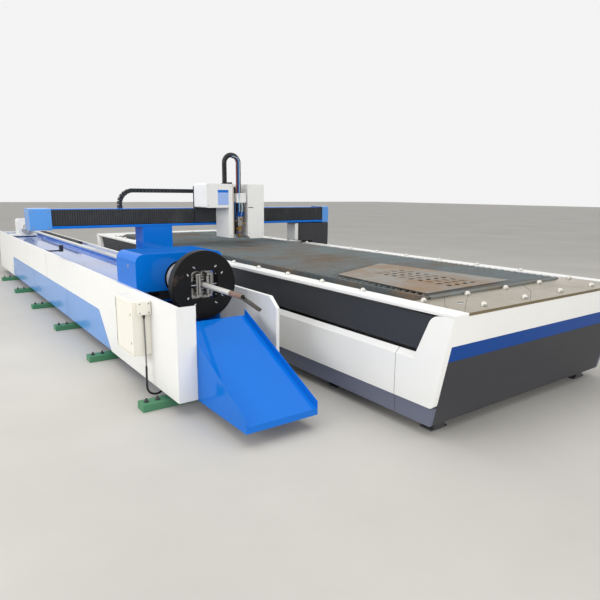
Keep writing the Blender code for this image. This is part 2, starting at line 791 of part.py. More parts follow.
def casing_outline():
    low, top = PLINTH_TOP, TABLE_HEIGHT - RIM_THICK - GAP
    return rounded([
        (front_y(low), low, CASING_CORNER),
        (rear_y(low), low, CASING_CORNER),
        (rear_y(top), top),
        (front_y(top), top),
    ])


def band_outline():
    """The long side window, with its swept ends."""
    return rounded([
        (FRONT + BAND_FOOT, BAND_BOTTOM, CASING_CORNER),
        (TABLE_REAR - BAND_FOOT, BAND_BOTTOM, CASING_CORNER),
        (TABLE_REAR - BAND_SHOULDER, BAND_TOP - BAND_DROP, BAND_ROUND),
        (TABLE_REAR - BAND_TIP, BAND_TOP),
        (FRONT + BAND_TIP, BAND_TOP),
        (FRONT + BAND_SHOULDER, BAND_TOP - BAND_DROP, BAND_ROUND),
    ])


def build_casings():
    for side, name, cover in (
        (1, "left_side_casing", "left_rail_cover"), (-1, "right_side_casing", "right_rail_cover"),
    ):
        face = TABLE_X - side * TABLE_WIDTH / 2
        inner = face + side * CASING_DEPTH
        folded_cover(
            name, WHITE, "X", face, inner, casing_outline(), [band_outline()], ledge=(BAND_BOTTOM, LEDGE),
        )
        belt = inner + side * GAP
        front, rear = FRONT + BAND_TIP, TABLE_REAR - BAND_TIP
        low, top = BAND_BOTTOM + COVER_MARGIN, BAND_TOP - COVER_MARGIN
        prism(cover, BLACK, "X", belt, belt + side * SHEET, rect(front, rear, low, top))


def leaning_panel(name, material, low, top):
    """A panel of the leaning front face between two heights, folded back at its top and bottom."""
    left = TABLE_LEFT + CASING_DEPTH + GAP
    right = TABLE_RIGHT - CASING_DEPTH - GAP
    outline = [
        (front_y(low), low),
        (front_y(low) + CASING_DEPTH, low),
        (front_y(low) + CASING_DEPTH, low + SHEET),
        (front_y(low + SHEET) + SHEET, low + SHEET),
        (front_y(top - SHEET) + SHEET, top - SHEET),
        (front_y(top) + CASING_DEPTH, top - SHEET),
        (front_y(top) + CASING_DEPTH, top),
        (front_y(top), top),
    ]
    prism(name, material, "X", left, right, outline)


def build_front():
    leaning_panel("front_lower_panel", GREY, TABLE_CLEARANCE, STRIPE_BOTTOM)
    leaning_panel("front_stripe", BLUE, STRIPE_BOTTOM + GAP, STRIPE_TOP)
    leaning_panel("front_top_cover", WHITE, STRIPE_TOP + GAP, TABLE_HEIGHT - RIM_THICK - GAP)


def build_rear():
    left = TABLE_LEFT + CASING_DEPTH + GAP
    right = TABLE_RIGHT - CASING_DEPTH - GAP
    low, top = PLINTH_TOP + GAP, TABLE_HEIGHT - RIM_THICK - GAP
    outline = [
        (rear_y(low), low),
        (rear_y(top), top),
        (rear_y(top) - CASING_DEPTH, top),
        (rear_y(top) - CASING_DEPTH, top - SHEET),
        (rear_y(top - SHEET) - SHEET, top - SHEET),
        (rear_y(low + SHEET) - SHEET, low + SHEET),
        (rear_y(low) - CASING_DEPTH, low + SHEET),
        (rear_y(low) - CASING_DEPTH, low),
    ]
    prism("rear_cover", WHITE, "X", left, right, outline)


def build_plinth():
    """The grey skirt along both sides and the far end, bolted to the frame's lowest beams."""
    left, right = TABLE_LEFT + PLINTH_INSET, TABLE_RIGHT - PLINTH_INSET
    front = front_y(PLINTH_TOP) + CASING_DEPTH + PLINTH_INSET
    rear = rear_y(PLINTH_TOP) - PLINTH_INSET
    outline = [
        (left, front), (left + SHEET, front), (left + SHEET, rear - SHEET), (right - SHEET, rear - SHEET),
        (right - SHEET, front), (right, front), (right, rear), (left, rear),
    ]
    prism("plinth_skirt", GREY, "Z", TABLE_CLEARANCE, PLINTH_TOP - GAP, outline)


def ball_unit(name, x, y, z):
    """A ball transfer: its flanged cup with the ball showing above."""
    arc = [math.pi / 2 * i / BALL_ARC_STEPS for i in range(BALL_ARC_STEPS + 1)]
    top = [(BALL_RADIUS * math.cos(a), z + BALL_CUP_HEIGHT + BALL_RADIUS * math.sin(a)) for a in arc]
    top[-1] = (0, z + BALL_CUP_HEIGHT + BALL_RADIUS)
    profile = [
        (0, z - RIM_THICK / 2), (BALL_CUP_RADIUS, z - RIM_THICK / 2),
        (BALL_CUP_RADIUS, z + BALL_CUP_HEIGHT), *top,
    ]
    return turned(name, None, "Z", profile, x, y, BALL_STEPS)


def add_balls(deck, places):
    bm = bmesh.new()
    for x, y in places:
        unit = ball_unit("ball", x, y, TABLE_HEIGHT)
        bm.from_mesh(unit.data)
        bpy.data.objects.remove(unit, do_unlink=True)
    combine(deck, add_object(deck.name + "_balls", bm, None), "UNION")


def build_rims():
    low = TABLE_HEIGHT - RIM_THICK
    front, rear = FRONT, TABLE_REAR
    for side, name in ((1, "left_rim"), (-1, "right_rim")):
        outer = TABLE_X - side * TABLE_WIDTH / 2
        inner = outer + side * RIM_WIDTH
        rim = prism(
            name, WHITE, "Z", low, TABLE_HEIGHT, rect(min(outer, inner), max(outer, inner), front, rear),
        )
        count = int((rear - FRONT - BALL_RIM_FIRST) / BALL_RIM_PITCH)
        x = outer + side * BALL_RIM_INSET
        add_balls(rim, [(x, FRONT + BALL_RIM_FIRST + BALL_RIM_PITCH * i) for i in range(count)])
    left, right = TABLE_LEFT + RIM_WIDTH + GAP, TABLE_RIGHT - RIM_WIDTH - GAP
    deck = prism(
        "front_ball_plate", TAN_STEEL, "Z", low, TABLE_HEIGHT, rect(left, right, FRONT, FRONT + FRONT_DECK),
    )
    count = int((TABLE_WIDTH - RIM_WIDTH - BALL_FIRST) / BALL_ROW_PITCH) + 1
    back = [(TABLE_LEFT + BALL_FIRST + BALL_ROW_PITCH * i, FRONT + BALL_BACK_ROW) for i in range(count)]
    near = [(x + BALL_ROW_PITCH / 2, FRONT + BALL_FRONT_ROW) for x, _ in back[:-1]]
    add_balls(deck, back + near)
    far = prism(
        "rear_deck", WHITE, "Z", low, TABLE_HEIGHT,
        rect(left, right, TABLE_REAR - REAR_DECK, TABLE_REAR),
    )
    add_balls(far, [(x, TABLE_REAR - BALL_BACK_ROW) for x, _ in back[1:-1]])


def build_beam():
    """The hollow beam with a toe under the bellows, two guide rails in front and the chain's tray behind."""
    left, right = from_beam(CAP_LEFT), TABLE_RIGHT + RIGHT_OVERHANG - CAP_RIGHT
    face, back = GANTRY_Y + BEAM_BACK_SET, GANTRY_BACK
    rail = face - X_RAIL_REACH
    outline = [(GANTRY_Y, BEAM_BOTTOM), (back, BEAM_BOTTOM)]
    tray_top = CHAIN_HIGH - 2 * CHAIN_BEND - CHAIN_THICK / 2 - GAP
    outline += [
        (back, tray_top - TRAY_THICK), (back + TRAY_REACH, tray_top - TRAY_THICK),
        (back + TRAY_REACH, tray_top), (back, tray_top),
    ]
    outline += [(back, BEAM_TOP), (face, BEAM_TOP)]
    for low in (X_RAIL_HIGH, X_RAIL_LOW):
        outline += [(face, low + X_RAIL_HEIGHT), (rail, low + X_RAIL_HEIGHT), (rail, low), (face, low)]
    outline += [(face, BEAM_BOTTOM + BEAM_TOE), (GANTRY_Y, BEAM_BOTTOM + BEAM_TOE)]
    bore = rect(face + BEAM_WALL, back - BEAM_WALL, BEAM_BOTTOM + BEAM_WALL, BEAM_TOP - BEAM_WALL)
    prism("beam", BLUE, "X", left + GAP, right - GAP, outline, [bore])
    front, rear = GANTRY_Y, back
    section = rect(front, rear, BEAM_BOTTOM + GAP - CAP_DROP, BEAM_TOP + CAP_RISE)
    ends = rounded([(u, v, CAP_ROUND) for u, v in section])
    folded_cover("left_beam_cap", BLUE, "X", from_beam(0), left, ends)
    folded_cover("right_beam_cap", BLUE, "X", TABLE_RIGHT + RIGHT_OVERHANG, right, ends)


def build_legs():
    """Each leg stands beside the table and reaches round the rail cover to its blocks on the rail."""
    for side, name, material, outer, inner in (
        (1, "left_leg", BLUE, LEFT_LEG_OUTER, LEFT_LEG_INNER),
        (-1, "right_leg", GREY, RIGHT_LEG_OUTER, RIGHT_LEG_INNER),
    ):
        edge = TABLE_X - side * TABLE_WIDTH / 2
        top = BEAM_BOTTOM - (GAP if side == 1 else CAP_DROP)
        ends = (edge - side * outer, edge + side * inner, edge - side * LEG_STAND_OFF)
        outline = [
            (ends[0], LEG_BOTTOM), (ends[2], LEG_BOTTOM), (ends[2], TABLE_HEIGHT + LEG_CLEARANCE),
            (ends[1], TABLE_HEIGHT + LEG_CLEARANCE), (ends[1], top), (ends[0], top),
        ]
        leg = prism(name, material, "Y", GANTRY_Y, GANTRY_BACK, outline)
        low, high = BAND_BOTTOM + RING_FREE, BAND_TOP - RING_TOP_FREE
        belt = edge + side * CASING_DEPTH
        slot_low, slot_high = low + RING_BOTTOM_WALL, high - RING_BOTTOM_WALL
        slot = [(belt - side * RING_FREE, slot_low), (belt + side * (SHEET + RING_FREE), slot_low),
                (belt + side * (SHEET + RING_FREE), slot_high), (belt - side * RING_FREE, slot_high)]
        inner_wall = belt + side * (SHEET + RING_FREE + RING_INNER_WALL)
        ring = [
            (ends[2] - side * RING_LAP, low), (inner_wall, low), (inner_wall, high),
            (ends[2] - side * RING_LAP, high),
        ]
        combine(
            leg, prism(name + "_ring", None, "Y", GANTRY_Y + OVERRUN, GANTRY_BACK - OVERRUN, ring, [slot]),
            "UNION",
        )
        rail_out = edge + side * (FRAME_INSET - GAP - RAIL_SIDE)
        block_low, block_top = RAIL_Z - BLOCK_MARGIN, RAIL_Z + RAIL_SIDE + BLOCK_MARGIN
        grip = rail_out + side * RAIL_SIDE / 2 - side * GAP
        start = inner_wall - side * RING_INNER_WALL / 2
        outline = [
            (start, block_low), (grip, block_low), (grip, RAIL_Z - GAP),
            (rail_out - side * GAP, RAIL_Z - GAP),
            (rail_out - side * GAP, RAIL_Z + RAIL_SIDE + GAP), (grip, RAIL_Z + RAIL_SIDE + GAP),
            (grip, block_top),
            (start, block_top),
        ]
        for mark, y in (("a", GANTRY_Y + OVERRUN), ("b", GANTRY_BACK - OVERRUN - BLOCK_LENGTH)):
            combine(leg, prism(name + "_block_" + mark, None, "Y", y, y + BLOCK_LENGTH, outline), "UNION")
    inner = TABLE_RIGHT - RIGHT_LEG_INNER - GAP
    outline = rounded([
        (inner - BOX_OUT, BOX_LOW, CAP_ROUND), (inner, BOX_LOW), (inner, BEAM_BOTTOM - CAP_DROP),
        (inner - BOX_OUT, BEAM_BOTTOM - CAP_DROP, CAP_ROUND),
    ])
    prism("right_leg_box", WHITE, "Y", GANTRY_Y + BOX_BACK, GANTRY_Y + BOX_BACK + BOX_DEPTH, outline)


def pleats(start, end):
    """A pleated strip seen from above: folds in front, a smooth back."""
    count = max(int(round((end - start) / BELLOWS_FOLD)), 1)
    step = (end - start) / count
    front, valley = GANTRY_Y + BELLOWS_STAND, GANTRY_Y + BELLOWS_STAND + BELLOWS_DEPTH - BELLOWS_WALL
    outline = [(start, front)]
    for i in range(count):
        outline += [(start + step * (2 * i + 1) / 2, valley), (start + step * (i + 1), front)]
    outline.append((end, front + BELLOWS_WALL))
    for i in reversed(range(count)):
        outline += [
            (start + step * (2 * i + 1) / 2, valley + BELLOWS_WALL),
            (start + step * i, front + BELLOWS_WALL),
        ]
    return outline


def build_bellows():
    left = from_beam(CAP_LEFT) + GAP
    right = TABLE_RIGHT + RIGHT_OVERHANG - CAP_RIGHT - GAP
    prism("left_bellows", BLACK, "Z", BELLOWS_LOW, BELLOWS_TOP, pleats(left, from_beam(COVER_LEFT) - GAP))
    prism(
        "right_bellows", BLACK, "Z", BELLOWS_LOW, BELLOWS_TOP, pleats(from_beam(COVER_RIGHT) + GAP, right),
    )


def build_chain():
    top, radius, half = CHAIN_HIGH, CHAIN_BEND, CHAIN_THICK / 2
    bend_x = from_beam(CHAIN_BEND_X)
    moving, fixed = from_beam(CHAIN_MOVING_X), from_beam(CHAIN_FIXED_X)
    path = []
    for i in range(int((moving - bend_x) / CHAIN_LINK) + 1):
        path.append((moving - CHAIN_LINK * i, top, 0, 1))
    turns = int(math.pi * radius / CHAIN_LINK)
    for i in range(turns + 1):
        angle = math.pi / 2 + math.pi * i / turns
        out, up = math.cos(angle), math.sin(angle)
        path.append((bend_x + radius * out, top - radius + radius * up, out, up))
    for i in range(1, int((fixed - bend_x) / CHAIN_LINK) + 1):
        path.append((bend_x + CHAIN_LINK * i, top - 2 * radius, 0, -1))
    outer, inner = [], []
    for (x0, z0, u0, v0), (x1, z1, u1, v1) in zip(path, path[1:]):
        run = Vector((x1 - x0, z1 - z0))
        if run.length < CHAIN_LINK / 2:
            continue
        step = run.normalized() * CHAIN_NOTCH
        normal = Vector((u0 + u1, v0 + v1)).normalized()
        a, b = Vector((x0, z0)) + step, Vector((x1, z1)) - step
        outer += [
            a + normal * half, b + normal * half,
            Vector((x1, z1)) + Vector((u1, v1)) * (half - CHAIN_NOTCH),
        ]
        inner += [
            a - normal * half, b - normal * half,
            Vector((x1, z1)) - Vector((u1, v1)) * (half - CHAIN_NOTCH),
        ]
    outline = [tuple(p) for p in outer[:-1]] + [tuple(p) for p in reversed(inner[:-1])]
    y = GANTRY_BACK + CHAIN_SET
    prism("beam_chain", BLACK, "Y", y, y + CHAIN_WIDTH, outline)


def build_carriage():
    """The carriage plate on the beam's rails, with the spine of the lift and an arm over to the chain."""
    left, right = from_beam(COVER_LEFT) + PLATE_SET, from_beam(COVER_RIGHT) - PLATE_SET
    back = GANTRY_Y + BEAM_BACK_SET - X_RAIL_REACH - PLATE_GAP
    front = back - PLATE_THICK
    middle = from_beam((CHANNEL_LEFT + CHANNEL_RIGHT) / 2)
    plate = prism("carriage_plate", STEEL, "Z", PLATE_LOW, PLATE_TOP, rect(left, right, front, back))
    spine = (
        middle - SPINE_WIDTH / 2, middle + SPINE_WIDTH / 2, front - SPINE_DEPTH, GANTRY_Y - TOE_CLEARANCE,
        SPINE_LOW, PLATE_TOP,
    )
    chain_y = GANTRY_BACK + CHAIN_SET
    moving = from_beam(CHAIN_MOVING_X)
    arm = (
        moving + GAP, moving + CHAIN_LINK, back - OVERRUN, chain_y + CHAIN_WIDTH,
        CHAIN_HIGH - CHAIN_THICK / 2, CHAIN_HIGH + CHAIN_THICK / 2,
    )
    combine(plate, blocks("spine", None, [spine]), "UNION")
    combine(plate, blocks("chain_arm", None, [arm]), "UNION")
    cover_back = front - GAP
    cover_front = cover_back - COVER_FRONT
    x0, x1, x2, x3, x4 = (
        from_beam(d)
        for d in (COVER_LEFT, COVER_WAIST, CHANNEL_LEFT, CHANNEL_RIGHT, COVER_RIGHT)
    )
    outline = rounded([
        (x0, COVER_STEP, CAP_ROUND), (x1, COVER_STEP), (x1, COVER_LOW), (x2, COVER_LOW), (x2, COVER_TOP),
        (x0, COVER_TOP, CAP_ROUND),
    ])
    folded_cover("left_cover", WHITE, "Y", cover_front, cover_back, outline, sheet=COVER_WALL)
    outline = [
        (x3 + COVER_CHAMFER, COVER_LOW - OVERRUN), (x4 - COVER_CHAMFER, COVER_LOW - OVERRUN),
        (x4, COVER_LOW - OVERRUN + COVER_CHAMFER),
        (x4, COVER_TOP), (x3, COVER_TOP), (x3, COVER_LOW - OVERRUN + COVER_CHAMFER),
    ]
    folded_cover("right_cover", WHITE, "Y", cover_front, cover_back, outline, sheet=COVER_WALL)
    spine_front = front - SPINE_DEPTH
    half = MOTOR_SIDE / 2
    y = spine_front + half + MOTOR_ROUND
    outline = rounded_rect(middle, y, half, half, MOTOR_ROUND)
    prism("lift_motor", BLACK, "Z", PLATE_TOP + GAP, PLATE_TOP + GAP + MOTOR_HEIGHT, outline)
    slide_back = spine_front - GAP
    slide_front = slide_back - SLIDE_DEPTH
    slide = prism(
        "lift_slide", STEEL, "Z", SLIDE_LOW, SLIDE_TOP,
        rect(middle - SLIDE_WIDTH / 2, middle + SLIDE_WIDTH / 2, slide_front, slide_back),
    )
    bracket = (
        middle - ARM_WIDTH / 2, middle + ARM_WIDTH / 2, slide_front - ARM_REACH, slide_front + OVERRUN,
        ARM_LOW, ARM_TOP,
    )
    combine(slide, blocks("bracket", None, [bracket]), "UNION")
    head_y = slide_front - ARM_REACH + HEAD_DEPTH / 2 + HEAD_ROUND
    outline = rounded_rect(middle, head_y, HEAD_WIDTH / 2, HEAD_DEPTH / 2, HEAD_ROUND)
    head = prism("cutting_head", STEEL, "Z", HEAD_BLOCK_LOW, ARM_LOW - GAP, outline)
    ends = (HEAD_BODY_LOW, HEAD_BLOCK_LOW + OVERRUN)
    combine(head, shaft("head_barrel", None, "Z", HEAD_BODY_RADIUS, *ends, middle, head_y), "UNION")
    profile = [
        (0, NOZZLE_LOW), (NOZZLE_TIP, NOZZLE_LOW), (NOZZLE_COLLAR, NOZZLE_LOW + NOZZLE_COLLAR),
        (NOZZLE_COLLAR, HEAD_BODY_LOW - NOZZLE_SKIRT), (HEAD_BODY_RADIUS, HEAD_BODY_LOW - NOZZLE_SKIRT),
        (HEAD_BODY_RADIUS, HEAD_BODY_LOW - GAP), (0, HEAD_BODY_LOW - GAP),
    ]
    turned("nozzle", BRASS, "Z", profile, middle, head_y)
    start = from_beam(CHANNEL_LEFT) - HOSE_START
    route = hose_route((start, head_y, COVER_TOP + GAP), (middle, head_y, ARM_TOP + GAP))
    pipe("hose_arch", RUBBER, route, HOSE_RADIUS)


def hose_route(start, end):
    """Straight up from the cover, over in a half round and straight down to the head's bracket."""
    radius = (end[0] - start[0]) / 2
    crown = HOSE_APEX - HOSE_RADIUS - radius
    middle = start[0] + radius
    points = [Vector(start), Vector((start[0], start[1], (start[2] + crown) / 2))]
    for i in range(HOSE_POINTS):
        angle = math.pi * (1 - i / (HOSE_POINTS - 1))
        over = Vector((math.cos(angle), 0, math.sin(angle)))
        points.append(Vector((middle, start[1], crown)) + over * radius)
    points += [Vector((end[0], end[1], (end[2] + crown) / 2)), Vector(end)]
    return points


def build_bed():
    """The tube bed: a hollow frame with feet, side panels, the blue insert, the far panel and the deck."""
    left, right = BED_LEFT + BED_PANEL + BED_FRAME_SIDE, BED_RIGHT - BED_PANEL - BED_FRAME_SIDE
    front, rear = BED_FRONT + BED_FRAME_START, BED_REAR - BED_PANEL - GAP
    inner = rect(
        left + BED_FRAME_WALL, right - BED_FRAME_WALL, BED_FRAME_LOW + BED_FRAME_WALL,
        BED_FRAME_TOP - BED_FRAME_WALL,
    )
    frame = prism(
        "bed_frame", BLUE, "Y", front, rear, rect(left, right, BED_FRAME_LOW, BED_FRAME_TOP), [inner],
    )
    step = (rear - BED_FRONT - FOOT_FIRST - FOOT_LAST) / (FOOT_COUNT - 1)
    feet, posts = [], []
    for i in range(FOOT_COUNT):
        y = BED_FRONT + FOOT_FIRST + step * i
        feet.append((BED_LEFT - FOOT_REACH, BED_RIGHT + FOOT_REACH / 2, y, y + FOOT_WIDTH, 0, FOOT_HEIGHT))
        for x in (left + FOOT_POST, right - FOOT_POST):
            post_top = BED_FRAME_LOW + BED_FRAME_WALL / 2
            posts.append(upright(x, y + FOOT_WIDTH / 2, FOOT_WIDTH, FOOT_HEIGHT / 2, post_top))
    tie_end = TABLE_LEFT + FRAME_INSET + (FRAME_BEAM - LEG_PAD) / 2 - GAP
    tie_y = BED_FRONT + FOOT_FIRST + step * FOOT_TIE
    tie = (BED_RIGHT, tie_end, tie_y, tie_y + FOOT_WIDTH, 0, FOOT_HEIGHT)
    rails = [
        (x, x + FOOT_POST, BED_FRONT + BED_PANEL, front + OVERRUN, BED_FRAME_LOW, BED_FRAME_LOW + FOOT_POST)
        for x in (left, right - FOOT_POST)
    ]
    combine(frame, blocks("front_rails", None, rails), "UNION")
    combine(frame, blocks("foot_posts", None, posts), "UNION")
    combine(frame, blocks("foot_bars", None, feet), "UNION")
    combine(frame, blocks("foot_tie", None, [tie]), "UNION")

    panel_top = BED_HEIGHT
    insert = insert_outline()
    outline = [
        (BED_FRONT, BED_CLEARANCE), *insert[0], (BED_REAR, BED_CLEARANCE), (BED_REAR, panel_top),
        (BED_FRONT, panel_top),
    ]
    panel = prism("bed_left_panel", WHITE, "X", BED_LEFT, BED_LEFT + BED_PANEL, outline)
    flange = (
        BED_LEFT + BED_PANEL / 2, BED_LEFT + BED_FLANGE, BED_FRONT, BED_FRONT + SHEET, BED_CLEARANCE,
        panel_top - CHAMFER_DROP,
    )
    combine(panel, blocks("front_flange", None, [flange]), "UNION")
    prism("bed_left_insert", BLUE, "X", BED_LEFT + INSERT_SET, BED_LEFT + BED_PANEL, insert[1])
    outline = [
        (BED_FRONT, BED_CLEARANCE), (BED_REAR, BED_CLEARANCE), (BED_REAR, CHAMFER_TOP),
        (BED_FRONT + CHAMFER_RUN, CHAMFER_TOP), (BED_FRONT, CHAMFER_TOP - CHAMFER_DROP),
    ]
    prism("bed_right_panel", WHITE, "X", BED_RIGHT - BED_PANEL, BED_RIGHT, outline)
    prism(
        "bed_rear_panel", WHITE, "Y", BED_REAR - BED_PANEL, BED_REAR,
        rect(BED_LEFT + BED_PANEL + GAP, BED_RIGHT - BED_PANEL - GAP, BED_CLEARANCE, CHAMFER_TOP),
    )
    build_deck(rear)


def insert_outline():
    """The insert's swept ends: the notch cut in the panel, and the insert with a small gap inside it."""
    outlines = []
    for gap in (0, GAP):
        front, rear = BED_FRONT + INSERT_FRONT + gap, BED_FRONT + INSERT_REAR - gap
        top = INSERT_TOP - gap
        outlines.append(rounded([
            (front, BED_CLEARANCE), (front + INSERT_SLANT, top, INSERT_ROUND),
            (rear - INSERT_REAR_SLANT, top, INSERT_ROUND), (rear, BED_CLEARANCE),
        ]))
    return outlines


def build_deck(rear):
    left, right = BED_LEFT + BED_PANEL + GAP, BED_RIGHT - BED_PANEL - GAP
    low, top = DECK_TOP - DECK_SHEET, DECK_TOP
    ridge_left, ridge_right = TUBE_X + DECK_RIDGE_LEFT, TUBE_X + DECK_RIDGE_RIGHT
    rail_top = top + DECK_RAIL_HEIGHT
    rails = [TUBE_X - DECK_RAIL_LEFT, TUBE_X + DECK_RAIL_RIGHT]
    outline = [
        (left, BED_FRAME_TOP + GAP), (left + DECK_SHEET, BED_FRAME_TOP + GAP), (left + DECK_SHEET, low),
    ]
    outline += [
        (ridge_left, low), (ridge_left, low + DECK_RIDGE), (ridge_right, low + DECK_RIDGE),
        (ridge_right, low),
    ]
    outline += [
        (right - DECK_SHEET, low), (right - DECK_SHEET, BED_FRAME_TOP + GAP), (right, BED_FRAME_TOP + GAP),
        (right, top),
    ]
    outline += [
        (ridge_right + DECK_SHEET, top), (ridge_right + DECK_SHEET, top + DECK_RIDGE),
        (ridge_left - DECK_SHEET, top + DECK_RIDGE), (ridge_left - DECK_SHEET, top),
    ]
    for x in reversed(rails):
        outline += [(x + DECK_RAIL_WIDTH, top), (x + DECK_RAIL_WIDTH, rail_top), (x, rail_top), (x, top)]
    outline.append((left, top))
    deck = prism("bed_deck", BLUE, "Y", BED_FRONT + HOUSING_REAR + GAP, rear, outline)
    start, end = BED_FRONT + SHAFT_FRONT, BED_FRONT + SHAFT_REAR
    step = (end - start - SUPPORT_ARM - 2 * BEARING_BLOCK) / (BEARING_COUNT - 1)
    bearings = []
    for i in range(BEARING_COUNT):
        y = start + SUPPORT_ARM + BEARING_BLOCK / 2 + step * i
        bearings.append((left, TUBE_X - BEARING_BLOCK_RIGHT, y, y + BEARING_BLOCK, low, BEARING_BLOCK_TOP))
    combine(deck, blocks("shaft_bearings", None, bearings), "UNION")
    radius = bored(SHAFT_RADIUS, STEM_STEPS)
    bore = shaft("shaft_bore", None, "Y", radius, start, end, TUBE_X - SHAFT_X, SHAFT_Z, STEM_STEPS)
    combine(deck, bore, "DIFFERENCE")


def build_chute():
    """The blue chute under the chuck: two side walls on a sloping floor, folded from one sheet."""
    tip, end = BED_FRONT + CHUTE_TIP, BED_FRONT + CHUTE_WALL_END
    rear = BED_FRONT - GAP
    wall = [
        (tip, CHUTE_LOW), (rear, CHUTE_LOW), (rear, CHUTE_REAR_LOW),
        (end, CHUTE_WALL_TOP - CHUTE_FLOOR_DROP - CHUTE_SHEET - CHUTE_FLOOR_DROP / 2), (end, CHUTE_WALL_TOP),
        (tip, CHUTE_TIP_TOP),
    ]
    drop = CHUTE_FLOOR_DROP
    floor = [
        (tip, CHUTE_TIP_TOP - drop), (end, CHUTE_WALL_TOP - drop),
        (end, CHUTE_WALL_TOP - drop - CHUTE_SHEET), (tip, CHUTE_TIP_TOP - drop - CHUTE_SHEET),
    ]
    left, right = TUBE_X - CHUTE_HALF, TUBE_X + CHUTE_HALF
    chute = prism("chute", BLUE, "X", left, left + CHUTE_SHEET, wall)
    combine(
        chute, prism("chute_floor", None, "X", left + CHUTE_SHEET / 2, right - CHUTE_SHEET / 2, floor),
        "UNION",
    )
    combine(chute, prism("chute_right_wall", None, "X", right - CHUTE_SHEET, right, wall), "UNION")
    front = [
        (tip, CHUTE_LOW), (tip + CHUTE_SHEET, CHUTE_LOW),
        (tip + CHUTE_SHEET, CHUTE_TIP_TOP - drop - CHUTE_SHEET / 2),
        (tip, CHUTE_TIP_TOP - drop - CHUTE_SHEET / 2),
    ]
    combine(
        chute, prism("chute_front", None, "X", left + CHUTE_SHEET / 2, right - CHUTE_SHEET / 2, front),
        "UNION",
    )


def build_chuck():
    """The black disc with its jaws, the polished drum with its spindle, and the tube that they turn."""
    front = BED_FRONT + DISC_FRONT
    back = front + DISC_THICK
    half = DISC_OPENING
    profile = [
        (0, front), (DISC_RADIUS - DISC_EDGE, front), (DISC_RADIUS, front + DISC_EDGE),
        (DISC_RADIUS, back - DISC_EDGE), (DISC_RADIUS - DISC_EDGE, back), (0, back),
    ]
    disc = turned("chuck_disc", BLACK, "Y", profile, TUBE_X, AXIS_HEIGHT, DISC_STEPS)
    opening = rounded_rect(TUBE_X, AXIS_HEIGHT, half, half, DISC_OPENING_ROUND)
    combine(
        disc, prism("opening_cutter", None, "Y", front - OVERRUN, back + OVERRUN, opening), "DIFFERENCE",
    )
    reach = half + STEM_HOLE_DEPTH
    for name, axis, u, v, along in (
        ("stem_hole_x", "X", front + JAW_FRONT_Y, AXIS_HEIGHT, TUBE_X),
        ("stem_hole_z", "Z", TUBE_X, front + JAW_REAR_Y, AXIS_HEIGHT),
    ):
        hole = shaft(name, None, axis, STEM_RADIUS + GAP, along - reach, along + reach, u, v, STEM_STEPS)
        combine(disc, hole, "DIFFERENCE")
    bm = bmesh.new()
    for corner in range(4):
        for side in (-1, 1):
            angle = math.pi / 4 + math.pi / 2 * corner + side * SCREW_SPREAD
            x, z = TUBE_X + SCREW_RADIUS * math.cos(angle), AXIS_HEIGHT + SCREW_RADIUS * math.sin(angle)
            screw = shaft(
                "screw", None, "Y", SCREW_HEAD, front - SCREW_RISE, front + SCREW_RISE, x, z, BALL_STEPS,
            )
            bm.from_mesh(screw.data)
            bpy.data.objects.remove(screw, do_unlink=True)
    combine(disc, add_object("disc_screws", bm, None), "UNION")
    end, rear = BED_FRONT + DRUM_END - GAP, BED_FRONT + SPINDLE_END
    drum_front = back + GAP
    profile = [
        (DRUM_BORE, drum_front), (DRUM_RADIUS, drum_front), (DRUM_RADIUS, end), (SPINDLE_RADIUS, end),
        (SPINDLE_RADIUS, rear),
        (SPINDLE_BORE, rear), (SPINDLE_BORE, drum_front + DRUM_BORE_END),
        (DRUM_BORE, drum_front + DRUM_BORE_END),
    ]
    drum = turned("chuck_drum", STEEL, "Y", profile, TUBE_X, AXIS_HEIGHT, DISC_STEPS)
    out, into = TUBE_X - DRUM_RADIUS - OVERRUN, TUBE_X - DRUM_RADIUS + KEY_DEPTH
    hole = shaft("key_hole", None, "X", KEY_RADIUS, out, into, end - KEY_BACK, AXIS_HEIGHT, STEM_STEPS)
    combine(drum, hole, "DIFFERENCE")
    profile = [
        (TUBE_RADIUS - TUBE_WALL, BED_FRONT + TUBE_OUT), (TUBE_RADIUS, BED_FRONT + TUBE_OUT),
        (TUBE_RADIUS, BED_FRONT + FEED_AT - FEED_JAW_LENGTH / 2),
        (TUBE_RADIUS - TUBE_WALL, BED_FRONT + FEED_AT - FEED_JAW_LENGTH / 2),
    ]
    turned("work_tube", STEEL, "Y", profile, TUBE_X, AXIS_HEIGHT)
    for name, axis, side, y in (
        ("jaw_left", "X", -1, front + JAW_FRONT_Y), ("jaw_right", "X", 1, front + JAW_FRONT_Y),
        ("jaw_bottom", "Z", -1, front + JAW_REAR_Y), ("jaw_top", "Z", 1, front + JAW_REAR_Y),
    ):
        build_jaw(name, axis, side, y)


